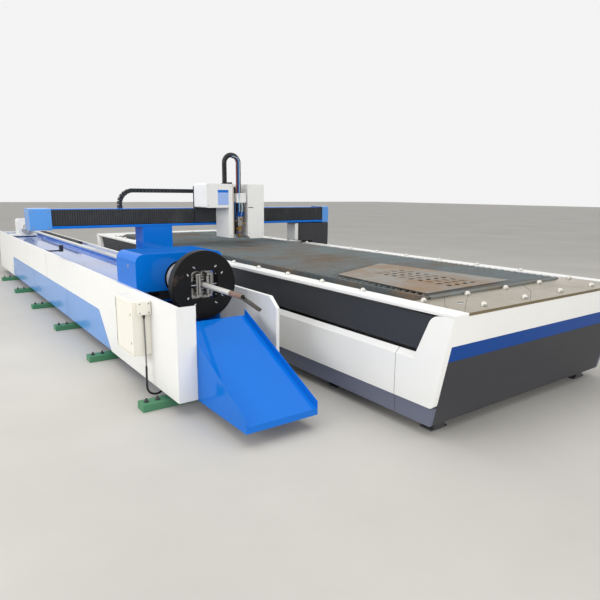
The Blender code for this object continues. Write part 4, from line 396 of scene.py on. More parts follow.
def build_materials():
    build_enamel_group()
    build_metal_group()
    tint = finishes()
    fine, coarse = (40, 40, 40), (60, 10, 60)
    return {
        "white": enamel("white_enamel", tint.white, 0.28, 0.04, 0.3),
        "blue": enamel("blue_enamel", tint.blue, 0.2, 0.03, 0.08, 0.55, 0.0),
        # Painted light: a lighter copy of the blue enamel, standing in for the window light on the left-facing insert
        # and beam caps
        "insert": enamel("insert_enamel_painted_window_light", tint.insert, 0.16, 0.04, 0.12, 0.5),
        "deck": enamel("deck_enamel", tint.blue, 0.16, 0.3, 0.0, 0.8),
        "stripe": enamel("stripe_enamel", tint.stripe, 0.3, 0.08, 0.0, 0.0, 0.15),
        "front_grey": enamel("front_grey_enamel", tint.front_grey, 0.42, 0.12, 0.25, 0.0, 0.25),
        "plinth": enamel("plinth_enamel", tint.plinth, 0.4, 0.15, 0.45),
        "green": enamel("green_enamel", tint.foot_green, 0.4, 0.3, 0.5),
        "cream": enamel("cream_enamel", tint.cream, 0.4, 0.06, 0.1),
        "band": enamel("band_coating", tint.band, 0.4, 0.1, 0.0, 0.0, 0.25),
        "cloth": moulded("bellows_cloth", tint.cloth, 0.62, 1400, 0.25),
        "plastic": moulded("chain_plastic", tint.cloth, 0.48),
        "rubber": moulded("black_rubber", [v * 0.6 for v in tint.cloth], 0.55),
        "hose_blue": moulded("blue_hose", tint.hose_blue, 0.35),
        "hose_red": moulded("red_brown_hose", tint.hose_red, 0.4),
        "panel_blue": enamel("panel_enamel", tint.panel_blue, 0.3, 0.05, 0.0),
        "disc": metal("blackened_disc", tint.disc, 0.32, (3, 3, 3), tint.rust, 0.12, 3.0, 0.1),
        "slats": metal("slat_steel", tint.slats, 0.34, (0.7, 22, 2), tint.rust, 0.29, 1.1, 0.5, 0.001, 0.35),
        "rust": metal("rusty_sheet", tint.sheet, 0.42, (5, 40, 5), tint.rust, 0.35, 2.2, 0.4, 0.001, 0.5),
        # Painted reflection: the polished sheet's tan colour stands in for a warm wall reflected in it
        "ball_plate": metal("polished_sheet_painted_reflection", tint.ball_plate, 0.03, (2, 2, 1), tint.rust, 0.0, 3.0, 0.01, 0.0003),
        "steel": metal("ground_steel", tint.steel, 0.16, (4, 160, 160), tint.rust, 0.15, 6.0, 0.1),
        "turned": metal("turned_steel", tint.steel, 0.1, (8, 220, 8), tint.rust, 0.12, 5.0, 0.08),
        "drum": metal("drum_steel", (0.78, 0.76, 0.71), 0.3, (8, 220, 8), tint.rust, 0.1, 5.0, 0.08, 0.0006, 0.3),
        "tube": metal("tube_steel", (0.8, 0.79, 0.75), 0.25, (60, 6, 60), tint.rust, 0.1, 9.0, 0.1, 0.0006, 0.35),
        "tube_rust": metal("rusty_tube", (0.30, 0.21, 0.185), 0.4, coarse, (0.2, 0.13, 0.105), 0.5, 12.0, 0.3, 0.0006,
                           0.3),
        # Near-black steel for the half-cut trough
        "tube_dark": metal("dark_tube_steel", (0.12, 0.115, 0.11), 0.3, coarse, (0.07, 0.06, 0.05), 0.4, 12.0, 0.3, 0.0006,
                           0.5),
        "brass": metal("brass", tint.brass, 0.14, (90, 90, 6), tint.rust, 0.05, 20.0, 0.05),
        "rail_grey": metal("carrier_steel", [v * 0.55 for v in tint.slats], 0.5, (6, 30, 6), tint.rust, 0.3, 3.0, 0.3),
        "ball": metal("polished_ball", (0.86, 0.83, 0.76), 0.08, fine, tint.rust, 0.0, 30.0, 0.02, 0.0006, 0.25),
        "cup": metal("pressed_cup", (0.78, 0.78, 0.76), 0.3, (60, 60, 6), tint.rust, 0.1, 30.0, 0.04),
        "mirror": metal("polished_steel", (0.8, 0.8, 0.79), 0.06, fine, tint.rust, 0.0, 30.0, 0.02),
        "steel_plain": metal("zinc_plated", (0.5, 0.5, 0.49), 0.3, (60, 60, 60), tint.rust, 0.1, 30.0, 0.05),
        # Real dark joints and seams, and also painted shade in the cover's slot, the keyhole and the tube's mouth
        "gap_and_shade": moulded("dark_joints_and_painted_shade", (0.012, 0.012, 0.013), 0.7),
        # Painted reflection: a warm beige standing in for the reflection seen by the channel between the covers
        "beige": enamel("beige_painted_reflection", (0.55, 0.5, 0.43), 0.35, 0.1, 0.0),
        "hose_pale": moulded("pale_hose", (0.35, 0.5, 0.55), 0.3),
        "panel_violet": moulded("sensor_housing", (0.12, 0.1, 0.2), 0.35),
        "cable": moulded("grey_cable", (0.16, 0.16, 0.16), 0.45),
        "frame_grey": enamel("frame_enamel", [v * 0.7 for v in tint.front_grey], 0.5, 0.4, 0.3),
    }


materials = {}
shells = {}


# Modelling helpers


def set_mode(mode):
    bpy.ops.object.mode_set(mode=mode)


def deselect():
    if bpy.context.mode != "OBJECT":
        set_mode("OBJECT")
    bpy.ops.object.select_all(action="DESELECT")


def activate(obj):
    deselect()
    obj.select_set(True)
    bpy.context.view_layer.objects.active = obj
    return obj


def apply_place(obj):
    activate(obj)
    bpy.ops.object.transform_apply(location=True, rotation=True, scale=True)
    return obj


def round_edges(obj, width, segments=2):
    if width:
        activate(obj)
        bevel = obj.modifiers.new("Rounded edges", "BEVEL")
        bevel.width, bevel.segments, bevel.limit_method, bevel.angle_limit = width, segments, "ANGLE", BEVEL_ANGLE
        bevel.use_clamp_overlap = True
        bpy.ops.object.modifier_apply(modifier=bevel.name)
    return obj


def select_mesh(kind=None):
    """Selects the whole mesh in edit mode, after a change to faces or vertices where a kind is given."""
    if kind:
        bpy.ops.mesh.select_mode(type=kind)
    bpy.ops.mesh.select_all(action="SELECT")


def extrude(way):
    bpy.ops.mesh.extrude_region_move(TRANSFORM_OT_translate={"value": way})


def close_mesh():
    """Turns all faces outwards and leaves edit mode."""
    select_mesh()
    bpy.ops.mesh.normals_make_consistent(inside=False)
    set_mode("OBJECT")


def stood(obj, spot, direction):
    """A piece made along +Z, set at a spot in a direction."""
    obj.rotation_mode = "QUATERNION"
    obj.rotation_quaternion = Vector(direction).to_track_quat("Z", "Y")
    obj.location = spot
    return apply_place(obj)


def block(lowest, highest, edge=0.002, segments=2):
    """A block with rounded edges between two corners."""
    deselect()
    lowest, highest = Vector(lowest), Vector(highest)
    bpy.ops.mesh.primitive_cube_add(size=1, location=(lowest + highest) / 2)
    obj = bpy.context.active_object
    obj.scale = highest - lowest
    return round_edges(apply_place(obj), edge, segments)


def rod(start, end, radius, sides, edge):
    """A round bar from one point to another."""
    deselect()
    start, end = Vector(start), Vector(end)
    bpy.ops.mesh.primitive_cylinder_add(vertices=sides, radius=radius, depth=(end - start).length)
    return round_edges(stood(bpy.context.active_object, (start + end) / 2, end - start), edge)


def lathe(profile, spot=(0, 0, 0), direction=UP, sides=32):
    """A turned piece. The profile is (radius, height) points from its foot, and it stands at a spot in a direction."""
    deselect()
    foot, base = profile[0]
    bpy.ops.mesh.primitive_circle_add(vertices=sides, radius=foot, location=(0, 0, base), fill_type="NGON")
    obj = bpy.context.active_object
    set_mode("EDIT")
    select_mesh("FACE")
    for (radius, height), (wider, top) in zip(profile, profile[1:]):
        extrude((0, 0, top - height))
        share = wider / radius
        bpy.ops.transform.resize(value=(share, share, 1))
    close_mesh()
    return stood(apply_place(obj), spot, direction)


def ring(profile, spot=(0, 0, 0), direction=UP, sides=32):
    """A turned ring. Its section is a closed outline of (radius, height) points, spun round and set in a direction."""
    deselect()
    points = [Vector((radius, 0, height)) for radius, height in profile]
    bpy.ops.mesh.primitive_plane_add(size=0.001, location=points[0])
    obj = apply_place(bpy.context.active_object)
    set_mode("EDIT")
    select_mesh("VERT")
    bpy.ops.mesh.merge(type="CENTER")
    for last, point in zip(points, points[1:] + points[:1]):
        extrude(point - last)
    select_mesh()
    bpy.ops.mesh.remove_doubles(threshold=MERGE / 2)
    select_mesh()
    bpy.ops.mesh.spin(steps=sides, angle=2 * math.pi, center=(0, 0, 0), axis=UP)
    select_mesh()
    bpy.ops.mesh.remove_doubles(threshold=MERGE / 2)
    close_mesh()
    return stood(obj, spot, direction)


def sheet_prism(outline, axis, start, end):
    """A plate drawn point by point as (u, v) places, and drawn out along an axis from start to end."""
    deselect()
    points = [Vector({"X": (start, u, v), "Y": (u, start, v), "Z": (u, v, start)}[axis]) for u, v in outline]
    bpy.ops.mesh.primitive_plane_add(size=0.01, location=points[0])
    obj = bpy.context.active_object
    set_mode("EDIT")
    bpy.ops.mesh.select_mode(type="VERT")
    bpy.ops.mesh.merge(type="CENTER")
    for last, point in zip(points, points[1:]):
        extrude(point - last)
    select_mesh()
    bpy.ops.mesh.edge_face_add()
    extrude({"X": (end - start, 0, 0), "Y": (0, end - start, 0), "Z": (0, 0, end - start)}[axis])
    close_mesh()
    return apply_place(obj)


def joined(objects):
    deselect()
    for obj in objects:
        obj.select_set(True)
    bpy.context.view_layer.objects.active = objects[0]
    if len(objects) > 1:
        bpy.ops.object.join()
    return apply_place(bpy.context.active_object)


def curve_tube(points, radius, resolution=4):
    """A hose or wire along points, as a mesh. Its radius may be one number or one for each point."""
    deselect()
    curve = bpy.data.curves.new("hose", "CURVE")
    curve.dimensions = "3D"
    curve.bevel_depth = 1
    curve.bevel_resolution = resolution
    curve.use_fill_caps = True
    spline = curve.splines.new("POLY")
    spline.points.add(len(points) - 1)
    radii = radius if hasattr(radius, "__len__") else [radius] * len(points)
    for item, point, size in zip(spline.points, points, radii):
        item.co = (*point, 1)
        item.radius = size
    obj = bpy.data.objects.new("hose", curve)
    bpy.context.scene.collection.objects.link(obj)
    activate(obj)
    bpy.ops.object.convert(target="MESH")
    return bpy.context.active_object


def smooth_path(route, count):
    """Evenly spaced points on a smooth curve through a route."""
    route = [Vector(p) for p in route]
    ends = [2 * route[0] - route[1], *route, 2 * route[-1] - route[-2]]
    fine = []
    for i in range(len(route) - 1):
        p0, p1, p2, p3 = ends[i : i + 4]
        for step in range(count):
            t = step / count
            curve = 2 * p1 + (p2 - p0) * t + (2 * p0 - 5 * p1 + 4 * p2 - p3) * t**2
            fine.append((curve + (3 * p1 - p0 - 3 * p2 + p3) * t**3) / 2)
    fine.append(route[-1])
    far = [0.0]
    for a, b in zip(fine, fine[1:]):
        far.append(far[-1] + (b - a).length)
    points, spot = [], 0
    for i in range(count):
        wanted = far[-1] * i / (count - 1)
        while spot < len(fine) - 2 and far[spot + 1] < wanted:
            spot += 1
        share = (wanted - far[spot]) / max(far[spot + 1] - far[spot], MERGE)
        points.append(fine[spot].lerp(fine[spot + 1], min(share, 1)))
    return points


def finished(obj, name, material, body, smooth=SMOOTH_ANGLE):
    """Names a piece, gives it its finish, and lets it ride on its body."""
    activate(obj)
    obj.name = name
    obj.data.name = name
    obj.data.materials.clear()
    obj.data.materials.append(materials[material])
    bpy.ops.object.shade_smooth_by_angle(angle=smooth)
    normals = obj.modifiers.new("Flat faces stay flat", "WEIGHTED_NORMAL")
    normals.keep_sharp = True
    bpy.ops.object.modifier_apply(modifier=normals.name)
    if body:
        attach(obj, body)
    return obj


def unmarked(obj):
    """The piece without its parent and its node's marks."""
    obj.parent = None
    for key in [key for key in obj.keys() if key.startswith("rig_")]:
        del obj[key]
    return obj


def own_copy(obj):
    """A copy of a piece with its own mesh."""
    other = obj.copy()
    other.data = obj.data.copy()
    bpy.context.scene.collection.objects.link(other)
    return other


def refined(node, material, edge):
    """A CAD node's shape with whole faces and rounded edges. It stands for the node."""
    activate(nodes[node])
    bpy.ops.object.duplicate()
    obj = unmarked(bpy.context.active_object)
    set_mode("EDIT")
    select_mesh()
    bpy.ops.mesh.remove_doubles(threshold=MERGE)
    bpy.ops.mesh.dissolve_limited(angle_limit=FLAT_ANGLE)
    set_mode("OBJECT")
    round_edges(obj, edge)
    finished(obj, node + "_finished", material, body_of[node])
    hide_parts(node)
    shells[node] = obj
    return obj


def paint(node, material):
    """Gives a CAD node its finish, where its shape stays as it is."""
    nodes[node].data.materials.clear()
    nodes[node].data.materials.append(materials[material])


def pick(obj, test, kind="FACE"):
    """Selects the faces or vertices that pass a test of place and direction, and leaves the piece in edit mode."""
    activate(obj)
    set_mode("EDIT")
    bpy.ops.mesh.select_mode(type=kind)
    bpy.ops.mesh.select_all(action="DESELECT")
    set_mode("OBJECT")
    if kind == "FACE":
        for face in obj.data.polygons:
            face.select = test(face.center, face.normal)
    else:
        for corner in obj.data.vertices:
            corner.select = test(corner.co, corner.normal)
    set_mode("EDIT")


def to_front(spot, way):
    return way.y < -STRAIGHT


def to_top(spot, way):
    return way.z > STRAIGHT


def inset_faces(obj, test, rim, depth):
    """Sinks the picked faces inside a rim, or raises them where the depth is negative."""
    pick(obj, test)
    bpy.ops.mesh.inset(thickness=rim, depth=-depth, use_individual=True)
    set_mode("OBJECT")
    return obj


def set_at(obj, places):
    """A copy of the piece at each placing matrix, all joined. The piece itself is used up."""
    made = []
    for place in places:
        other = own_copy(obj)
        other.matrix_world = place
        made.append(other)
    bpy.data.objects.remove(obj, do_unlink=True)
    return joined(made)


def slice_of(node, normal, start, end, grow=0.0):
    """The part of a finished piece between two planes across a direction, closed, and grown by a little."""
    obj = unmarked(own_copy(shells[node]))
    obj.matrix_world = Matrix.Identity(4)
    activate(obj)
    normal = Vector(normal)
    set_mode("EDIT")
    for place, side in ((start, {"clear_inner": True}), (end, {"clear_outer": True})):
        select_mesh()
        bpy.ops.mesh.bisect(plane_co=normal * place, plane_no=normal, use_fill=True, **side)
    if grow:
        select_mesh()
        bpy.ops.transform.shrink_fatten(value=grow)
    set_mode("OBJECT")
    return obj


def seams(node, places):
    """Dark lines across a finished piece, at places along Y."""
    half = sizes().seam / 2
    return [slice_of(node, BACK, y - half, y + half, PROUD) for y in places]


def pleated(lowest, highest, pitch, depth):
    """A pleated cover along X: a section drawn out fold by fold."""
    lowest, highest = Vector(lowest), Vector(highest)
    folds = int((highest.x - lowest.x) / pitch)
    step = (highest.x - lowest.x) / folds / 2
    wide, tall = highest.y - lowest.y, highest.z - lowest.z
    deselect()
    bpy.ops.mesh.primitive_plane_add(size=1, rotation=(0, math.pi / 2, 0))
    obj = bpy.context.active_object
    obj.location = (lowest.x, (lowest.y + highest.y) / 2, (lowest.z + highest.z) / 2)
    obj.scale = (tall, wide, 1)
    apply_place(obj)
    set_mode("EDIT")
    select_mesh("FACE")
    for i in range(2 * folds):
        extrude((step, 0, 0))
        inward = (1, 1 - 2 * depth / wide, 1 - 2 * depth / tall)
        bpy.ops.transform.resize(value=inward if i % 2 == 0 else [1 / s for s in inward])
    close_mesh()
    return obj


def chain_link(length, wide, thick):
    """One link of a drag chain, along X: two side plates' outline with a waist, and a raised crossbar."""
    obj = block((-length * 0.46, -wide / 2, -thick / 2), (length * 0.46, wide / 2, thick / 2), thick * 0.16, 2)
    inset_faces(obj, lambda spot, way: abs(way.y) > STRAIGHT, thick * 0.16, thick * 0.08)
    middle_part = length * 0.3
    return inset_faces(
        obj, lambda spot, way: abs(way.z) > STRAIGHT and abs(spot.x) < middle_part, thick * 0.14, thick * 0.05)


def facing(spot, way, turn=0.0):
    """Places a piece made along +Z at a spot, turned to a direction."""
    turned = Vector(way).to_track_quat("Z", "Y").to_matrix().to_4x4()
    return Matrix.Translation(spot) @ turned @ Matrix.Rotation(turn, 4, "Z")


def screws(name, places, material, body, radius=None):
    """Round socket screw heads at spots, each with the direction that it faces."""
    r = radius or sizes().screw
    head = lathe([(r, -r * 0.3), (r, r * 0.35), (r * 0.8, r * 0.55), (r * 0.5, r * 0.58), (r * 0.42, r * 0.2),
                  (r * 0.05, r * 0.18)], sides=12)
    return finished(set_at(head, [facing(spot, way) for spot, way in places]), name, material, body)


def front_spots(across, y, up):
    """Places of screws that face the operator: every x with every z."""
    return [((x, y, z), FRONT) for x in across for z in up]


def framed(lowest, highest, edge, rim, depth, test=to_front):
    """A block whose faces that pass the test are sunk inside a rim."""
    return inset_faces(block(lowest, highest, edge), test, rim, depth)


def hose(name, material, body, points, radius, resolution=3):
    """A finished hose or wire along points."""
    return finished(curve_tube(points, radius, resolution), name, material, body, ROUND_ANGLE)


def arc(x, z, radius, first, last, steps=12):
    """Points on an arc between two angles."""
    angles = [first + (last - first) * i / steps for i in range(steps + 1)]
    return [(x + radius * math.cos(angle), z + radius * math.sin(angle)) for angle in angles]


# Stage


def build_stage():
    """Floor, backdrop, lights and the camera at the photograph's angle."""
    stage = bpy.context.scene.machine_stage
    across, along = math.sin(stage.yaw) * math.cos(stage.pitch), math.cos(stage.yaw) * math.cos(stage.pitch)
    forward = Vector((across, along, -math.sin(stage.pitch)))
    level = Vector((math.cos(stage.yaw), -math.sin(stage.yaw), 0))
    over = level.cross(forward)
    right = level * math.cos(stage.roll) + over * math.sin(stage.roll)
    upward = over * math.cos(stage.roll) - level * math.sin(stage.roll)
    camera = bpy.data.objects.new("camera", bpy.data.cameras.new("camera"))
    bpy.context.scene.collection.objects.link(camera)
    camera.matrix_world = Matrix.Translation(stage.eye) @ Matrix((right, upward, -forward)).transposed().to_4x4()
    camera.data.lens = stage.lens
    camera.data.clip_end = 200
    bpy.context.scene.camera = camera

    deselect()
    bpy.ops.mesh.primitive_plane_add(size=160)
    floor = bpy.context.active_object
    floor.name = "floor"
    material, tree, shader, _ = new_material("concrete_floor")
    place = own_place(tree)
    patches = noise(tree, place, 0.5, 6, 0.6)
    tone = mix_colour(tree, ramp(tree, patches, 0.3, 0.75), stage.floor, [v * 0.86 for v in stage.floor])
    tree.links.new(tone, shader.inputs["Base Color"])
    shader.inputs["Roughness"].default_value = 0.6
    shader.inputs["Specular IOR Level"].default_value = 0.2
    floor.data.materials.append(material)

    world = bpy.data.worlds.new("studio")
    bpy.context.scene.world = world
    world.use_nodes = True
    tree = world.node_tree
    background = tree.nodes["Background"]
    path = tree.nodes.new("ShaderNodeLightPath")
    seen = math_node(tree, "MAXIMUM", path.outputs["Is Camera Ray"], path.outputs["Is Glossy Ray"])
    seen = math_node(tree, "MAXIMUM", seen, path.outputs["Is Transmission Ray"])
    level_shift = add_node(tree, "ShaderNodeMapRange", [("Value", seen)])
    level_shift.inputs["To Min"].default_value = stage.world_light
    level_shift.inputs["To Max"].default_value = 0.9
    tree.links.new(level_shift.outputs[0], background.inputs["Strength"])
    background.inputs["Color"].default_value = (1, 1, 1, 1)

    for name, power, spot, aim, width, height in (
        ("window_light", stage.window_light, (-9, 0, 3.4), (0, 0, 0.8), 12, 3.2),
        ("roof_light", stage.roof_light, (-1, -2, 7), (0, 0, 0), 9, 9),
        ("front_light", stage.front_light, (-1.5, -13, 2.4), (0, -4, 0.7), 8, 4),
    ):
        lamp = bpy.data.lights.new(name, "AREA")
        lamp.shape = "RECTANGLE"
        lamp.size, lamp.size_y, lamp.energy = width, height, power
        obj = bpy.data.objects.new(name, lamp)
        bpy.context.scene.collection.objects.link(obj)
        obj.visible_glossy = name == "window_light"
        obj.location = spot
        obj.rotation_euler = (Vector(aim) - Vector(spot)).to_track_quat("-Z", "Y").to_euler()
    bpy.context.scene.view_settings.view_transform = "Standard"


# Shells


def dress_shells():
    """Every casing, panel, rail and bracket that keeps its CAD shape, with rounded edges and its own finish."""
    for names, material, edge in (
        ("left_side_casing right_side_casing front_top_cover rear_cover left_rim right_rim rear_deck "
         "bed_left_panel bed_right_panel bed_rear_panel right_leg_box left_cover right_cover feed_carriage",
         "white", 0.004),
        ("left_rail_cover right_rail_cover", "band", 0.001),
        ("front_stripe", "stripe", 0.003),
        ("front_lower_panel", "front_grey", 0.003),
        ("plinth_skirt", "plinth", 0.001),
        ("beam left_leg", "blue", 0.004),
        # The insert and the beam caps take the lighter blue, which is painted window light
        ("bed_left_insert left_beam_cap right_beam_cap", "insert", 0.004),
        ("headstock_hood", "blue", 0.002),
        ("bed_deck", "deck", 0.0015),
        ("right_leg", "front_grey", 0.003),
        ("table_frame headstock_bearing", "frame_grey", 0.003),
        # The ball plate's tan is a painted reflection
        ("front_ball_plate", "ball_plate", 0.0015),
        ("electric_box electric_box_door junction_plate", "cream", 0.0008),
        ("left_y_rail right_y_rail", "steel", 0.0015),
        ("carriage_plate lift_slide", "band", 0.0015),
        ("cutting_head", "steel", 0.002),
        ("jaw_left jaw_right jaw_bottom jaw_top", "steel", 0.0006),
        ("chuck_disc", "disc", 0.003),
        ("chuck_drum feed_chuck", "drum", 0.0015),
        ("work_tube", "tube", 0.0),
        ("lift_motor support_shaft", "plastic", 0.001),
        ("nozzle", "brass", 0.0005),
        ("bed_frame", "blue", 0.003),
    ):
        for node in names.split():
            refined(node, material, edge)
    paint("cut_plate", "rust")
    activate(refined("chute", "blue", 0.0))
    bpy.ops.object.shade_flat()


# Sheet table


def build_slats():
    """Slats with sawn teeth, set on edge between two carriers, each a little different from wear."""
    size = sizes()
    lowest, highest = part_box("slat_bed")
    left, right = lowest.x + size.carrier, highest.x - size.carrier
    teeth = int((right - left) / size.tooth)
    step = (right - left) / teeth
    outline = [(left, lowest.z), (left, highest.z - size.tooth_depth)]
    for i in range(teeth):
        outline += [(left + step * (i + 0.5), highest.z), (left + step * (i + 1), highest.z - size.tooth_depth)]
    outline.append((right, lowest.z))
    blade = sheet_prism(outline, "Y", 0, size.slat_thick)
    count = int((highest.y - lowest.y - size.slat_thick) / size.slat_pitch)
    pitch = (highest.y - lowest.y - size.slat_thick) / count
    rng = random.Random(size.seed)
    places = []
    for i in range(count + 1):
        worn = rng.uniform(0.955, 1.0)
        # A worn slat is scaled from the floor, so it is moved back up to its seat
        lift = Matrix.Translation((rng.uniform(-1, 1) * step / 3, lowest.y + pitch * i, lowest.z * (1 - worn)))
        places.append(lift @ Matrix.Diagonal((1, 1, worn, 1)))
    slats = finished(set_at(blade, places), "slats", "slats", "machine")
    lap, drop = 0.008, size.tooth_depth * 1.4
    rails = [block((x, lowest.y, lowest.z), (x + size.carrier + lap, highest.y, highest.z - drop), 0.0015)
             for x in (lowest.x, right - lap)]
    carriers = finished(joined(rails), "slat_carriers", "rail_grey", "machine")
    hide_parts("slat_bed")
    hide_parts("slat_bed")


def ball_spots():
    """Where the ball units stand on the two rims, the front plate and the rear deck."""
    size = sizes()
    front, rear = low("left_rim").y, high("left_rim").y
    left, right = low("left_rim").x, high("right_rim").x
    top = high("left_rim").z - size.ball - size.ball_rise
    rim_count = int((rear - front - size.rim_first) / size.rim_pitch)
    spots = [(x, front + size.rim_first + size.rim_pitch * i)
             for x in (left + size.rim_inset, right - size.rim_inset) for i in range(rim_count)]
    row_count = int((right - left - (high("left_rim").x - left) - size.row_first) / size.row_pitch) + 1
    row = [left + size.row_first + size.row_pitch * i for i in range(row_count)]
    spots += [(x, front + size.back_row) for x in row]
    spots += [(x + size.row_pitch / 2, front + size.front_row) for x in row[:-1]]
    spots += [(x, rear - size.back_row) for x in row[1:-1]]
    return spots, top


def build_ball_units():
    """A pressed cup with a flange and a polished ball, at every unit's place."""
    size = sizes()
    spots, top = ball_spots()
    r, cup = size.ball, size.ball_cup
    flange = cup + 0.003
    profile = [(flange, 0.0), (flange, 0.0015), (cup + 0.0005, 0.002), (cup, 0.0062), (cup - 0.001, 0.0072),
               (r + 0.0055, 0.0076), (r + 0.0045, 0.0068), (r + 0.004, 0.004)]
    cup_wall = ring([*profile, (r - 0.002, 0.001)], sides=24)
    places = [Matrix.Translation((x, y, top)) for x, y in spots]
    finished(set_at(cup_wall, places), "ball_cups", "cup", "machine")
    dome, centre = r + 0.0035, 0.0045
    ball = lathe([(dome * 0.98, 0.002), *arc(0.0004, centre, dome, 0, math.pi / 2, 9)], sides=20)
    finished(set_at(ball, places), "rim_balls", "ball", "machine")


def build_table_trim():
    """Joints between the casing sheets, the front plate's seams and small plate, and the skirt's front corners."""
    size = sizes()
    front = low("left_rim").y
    near, far = front + 0.47, -1.35
    pieces = []
    for node, places in (
        ("left_side_casing", (near, far)), ("right_side_casing", (near, far)), ("plinth_skirt", (near,)),
        ("left_rim", (far,)), ("right_rim", (far,)),
    ):
        pieces += seams(node, places)
    finished(joined(pieces), "casing_joints", "gap_and_shade", "machine")

    plate = low("front_ball_plate")
    top = plate.z + size.rim_thick
    marks = []
    for route in (
        ((-0.053, -4.562), (-0.323, -4.79), (plate.x + 0.004, -4.84)),
        ((0.213, -4.562), (-0.141, -4.814), (-0.362, -4.972)),
        ((0.9, -4.562), (0.66, -4.79), (0.30, front + 0.01)),
    ):
        marks.append(curve_tube([(x, y, top) for x, y in route], 0.0012, 1))
    finished(joined(marks), "plate_seams", "gap_and_shade", "machine")
    small = framed((-0.19, -4.805, top), (-0.135, -4.765, top + 0.0018), 0.0006, 0.006, 0.0006, to_top)
    finished(small, "small_plate", "mirror", "machine")

    skirt, skirt_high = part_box("plinth_skirt")
    panel, panel_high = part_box("front_lower_panel")
    run = 0.0935
    foot_y, slope = panel.y + run, run / (panel_high.z - panel.z)
    outline = [(skirt.y, skirt.z), (foot_y, skirt.z), (foot_y - slope * (skirt_high.z - skirt.z), skirt_high.z),
               (skirt.y, skirt_high.z)]
    corners = [sheet_prism(outline, "X", start, end)
               for start, end in ((skirt.x, panel.x), (panel_high.x, skirt_high.x))]
    finished(joined(corners), "skirt_corners", "plinth", "machine")


# Gantry


def build_bellows():
    """Pleated bellows on both sides of the carriage."""
    size = sizes()
    for node, ends in (("left_bellows", ("low", "high")), ("right_bellows", ("high", "low"))):
        lowest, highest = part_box(node)
        obj = pleated(lowest, highest, size.pleat, size.pleat_depth)
        activate(obj)
        obj.name = node + "_pleats"
        obj.data.name = obj.name
        obj.data.materials.append(materials["cloth"])
        bpy.ops.object.shade_flat()
        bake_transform(obj)
        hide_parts(node)


def build_beam_chain():
    """The drag chain: a lower run from its fixed end, a bend behind the beam, and an upper run to the carriage."""
    size = sizes()
    lowest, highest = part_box("beam_chain")
    thick, wide = size.chain_thick, highest.y - lowest.y
    y = middle("beam_chain").y
    radius = (highest.z - lowest.z - thick) / 2
    bend_x, centre_z = lowest.x + radius + thick / 2, middle("beam_chain").z
    fixed_x, moving_x = size.chain_fixed, highest.x
    made = {}
    for name, start, end, z in (
        ("lower", fixed_x, bend_x, centre_z - radius), ("upper", bend_x, moving_x, centre_z + radius),
    ):
        count = round(abs(end - start) / size.link)
        pitch = (end - start) / count
        link = chain_link(abs(pitch), wide, thick)
        made[name] = set_at(link, [Matrix.Translation((start + pitch * (i + 0.5), y, z)) for i in range(count)])
    count = round(math.pi * radius / size.link)
    link = chain_link(math.pi * radius / count, wide, thick)
    places = []
    for i in range(count):
        angle = math.pi * (i + 0.5) / count
        spot = Vector((bend_x - radius * math.sin(angle), y, centre_z - radius * math.cos(angle)))
        places.append(Matrix.Translation(spot) @ Matrix.Rotation(angle, 4, "Y"))
    made["bend"] = set_at(link, places)
    for name, start, end in (
        ("lower", (fixed_x, y, 0), (2 * bend_x - fixed_x, y, 0)),
        ("bend", (0, y - 5, 0), (0, y + 5, 0)),
        ("upper", (2 * bend_x - moving_x, y, 0), (moving_x, y, 0)),
    ):
        obj = finished(made[name], "chain_" + name, "plastic", None)
        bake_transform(obj)
        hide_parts("beam_chain")


def build_gantry_trim():
    """Screws on the beam's end caps, and the hatch of the box on the right leg."""
    left, left_high, inset = low("left_beam_cap"), high("left_beam_cap"), 0.03
    across = (left.x + inset, left_high.x - inset, low("right_beam_cap").x + inset, high("right_beam_cap").x - inset)
    spots = front_spots(across, left.y, (left.z + inset, left_high.z - inset))
    screws("gantry_screws", spots, "steel_plain", "gantry")
    box, box_high, rim = low("right_leg_box"), high("right_leg_box"), 0.006
    hatch = framed((box.x + rim, box.y - 0.002, box.z + 0.015), (box_high.x - rim, box.y, box_high.z - 0.015),
                   0.0008, 0.004, 0.0008)
    finished(hatch, "leg_box_hatch", "white", "gantry")


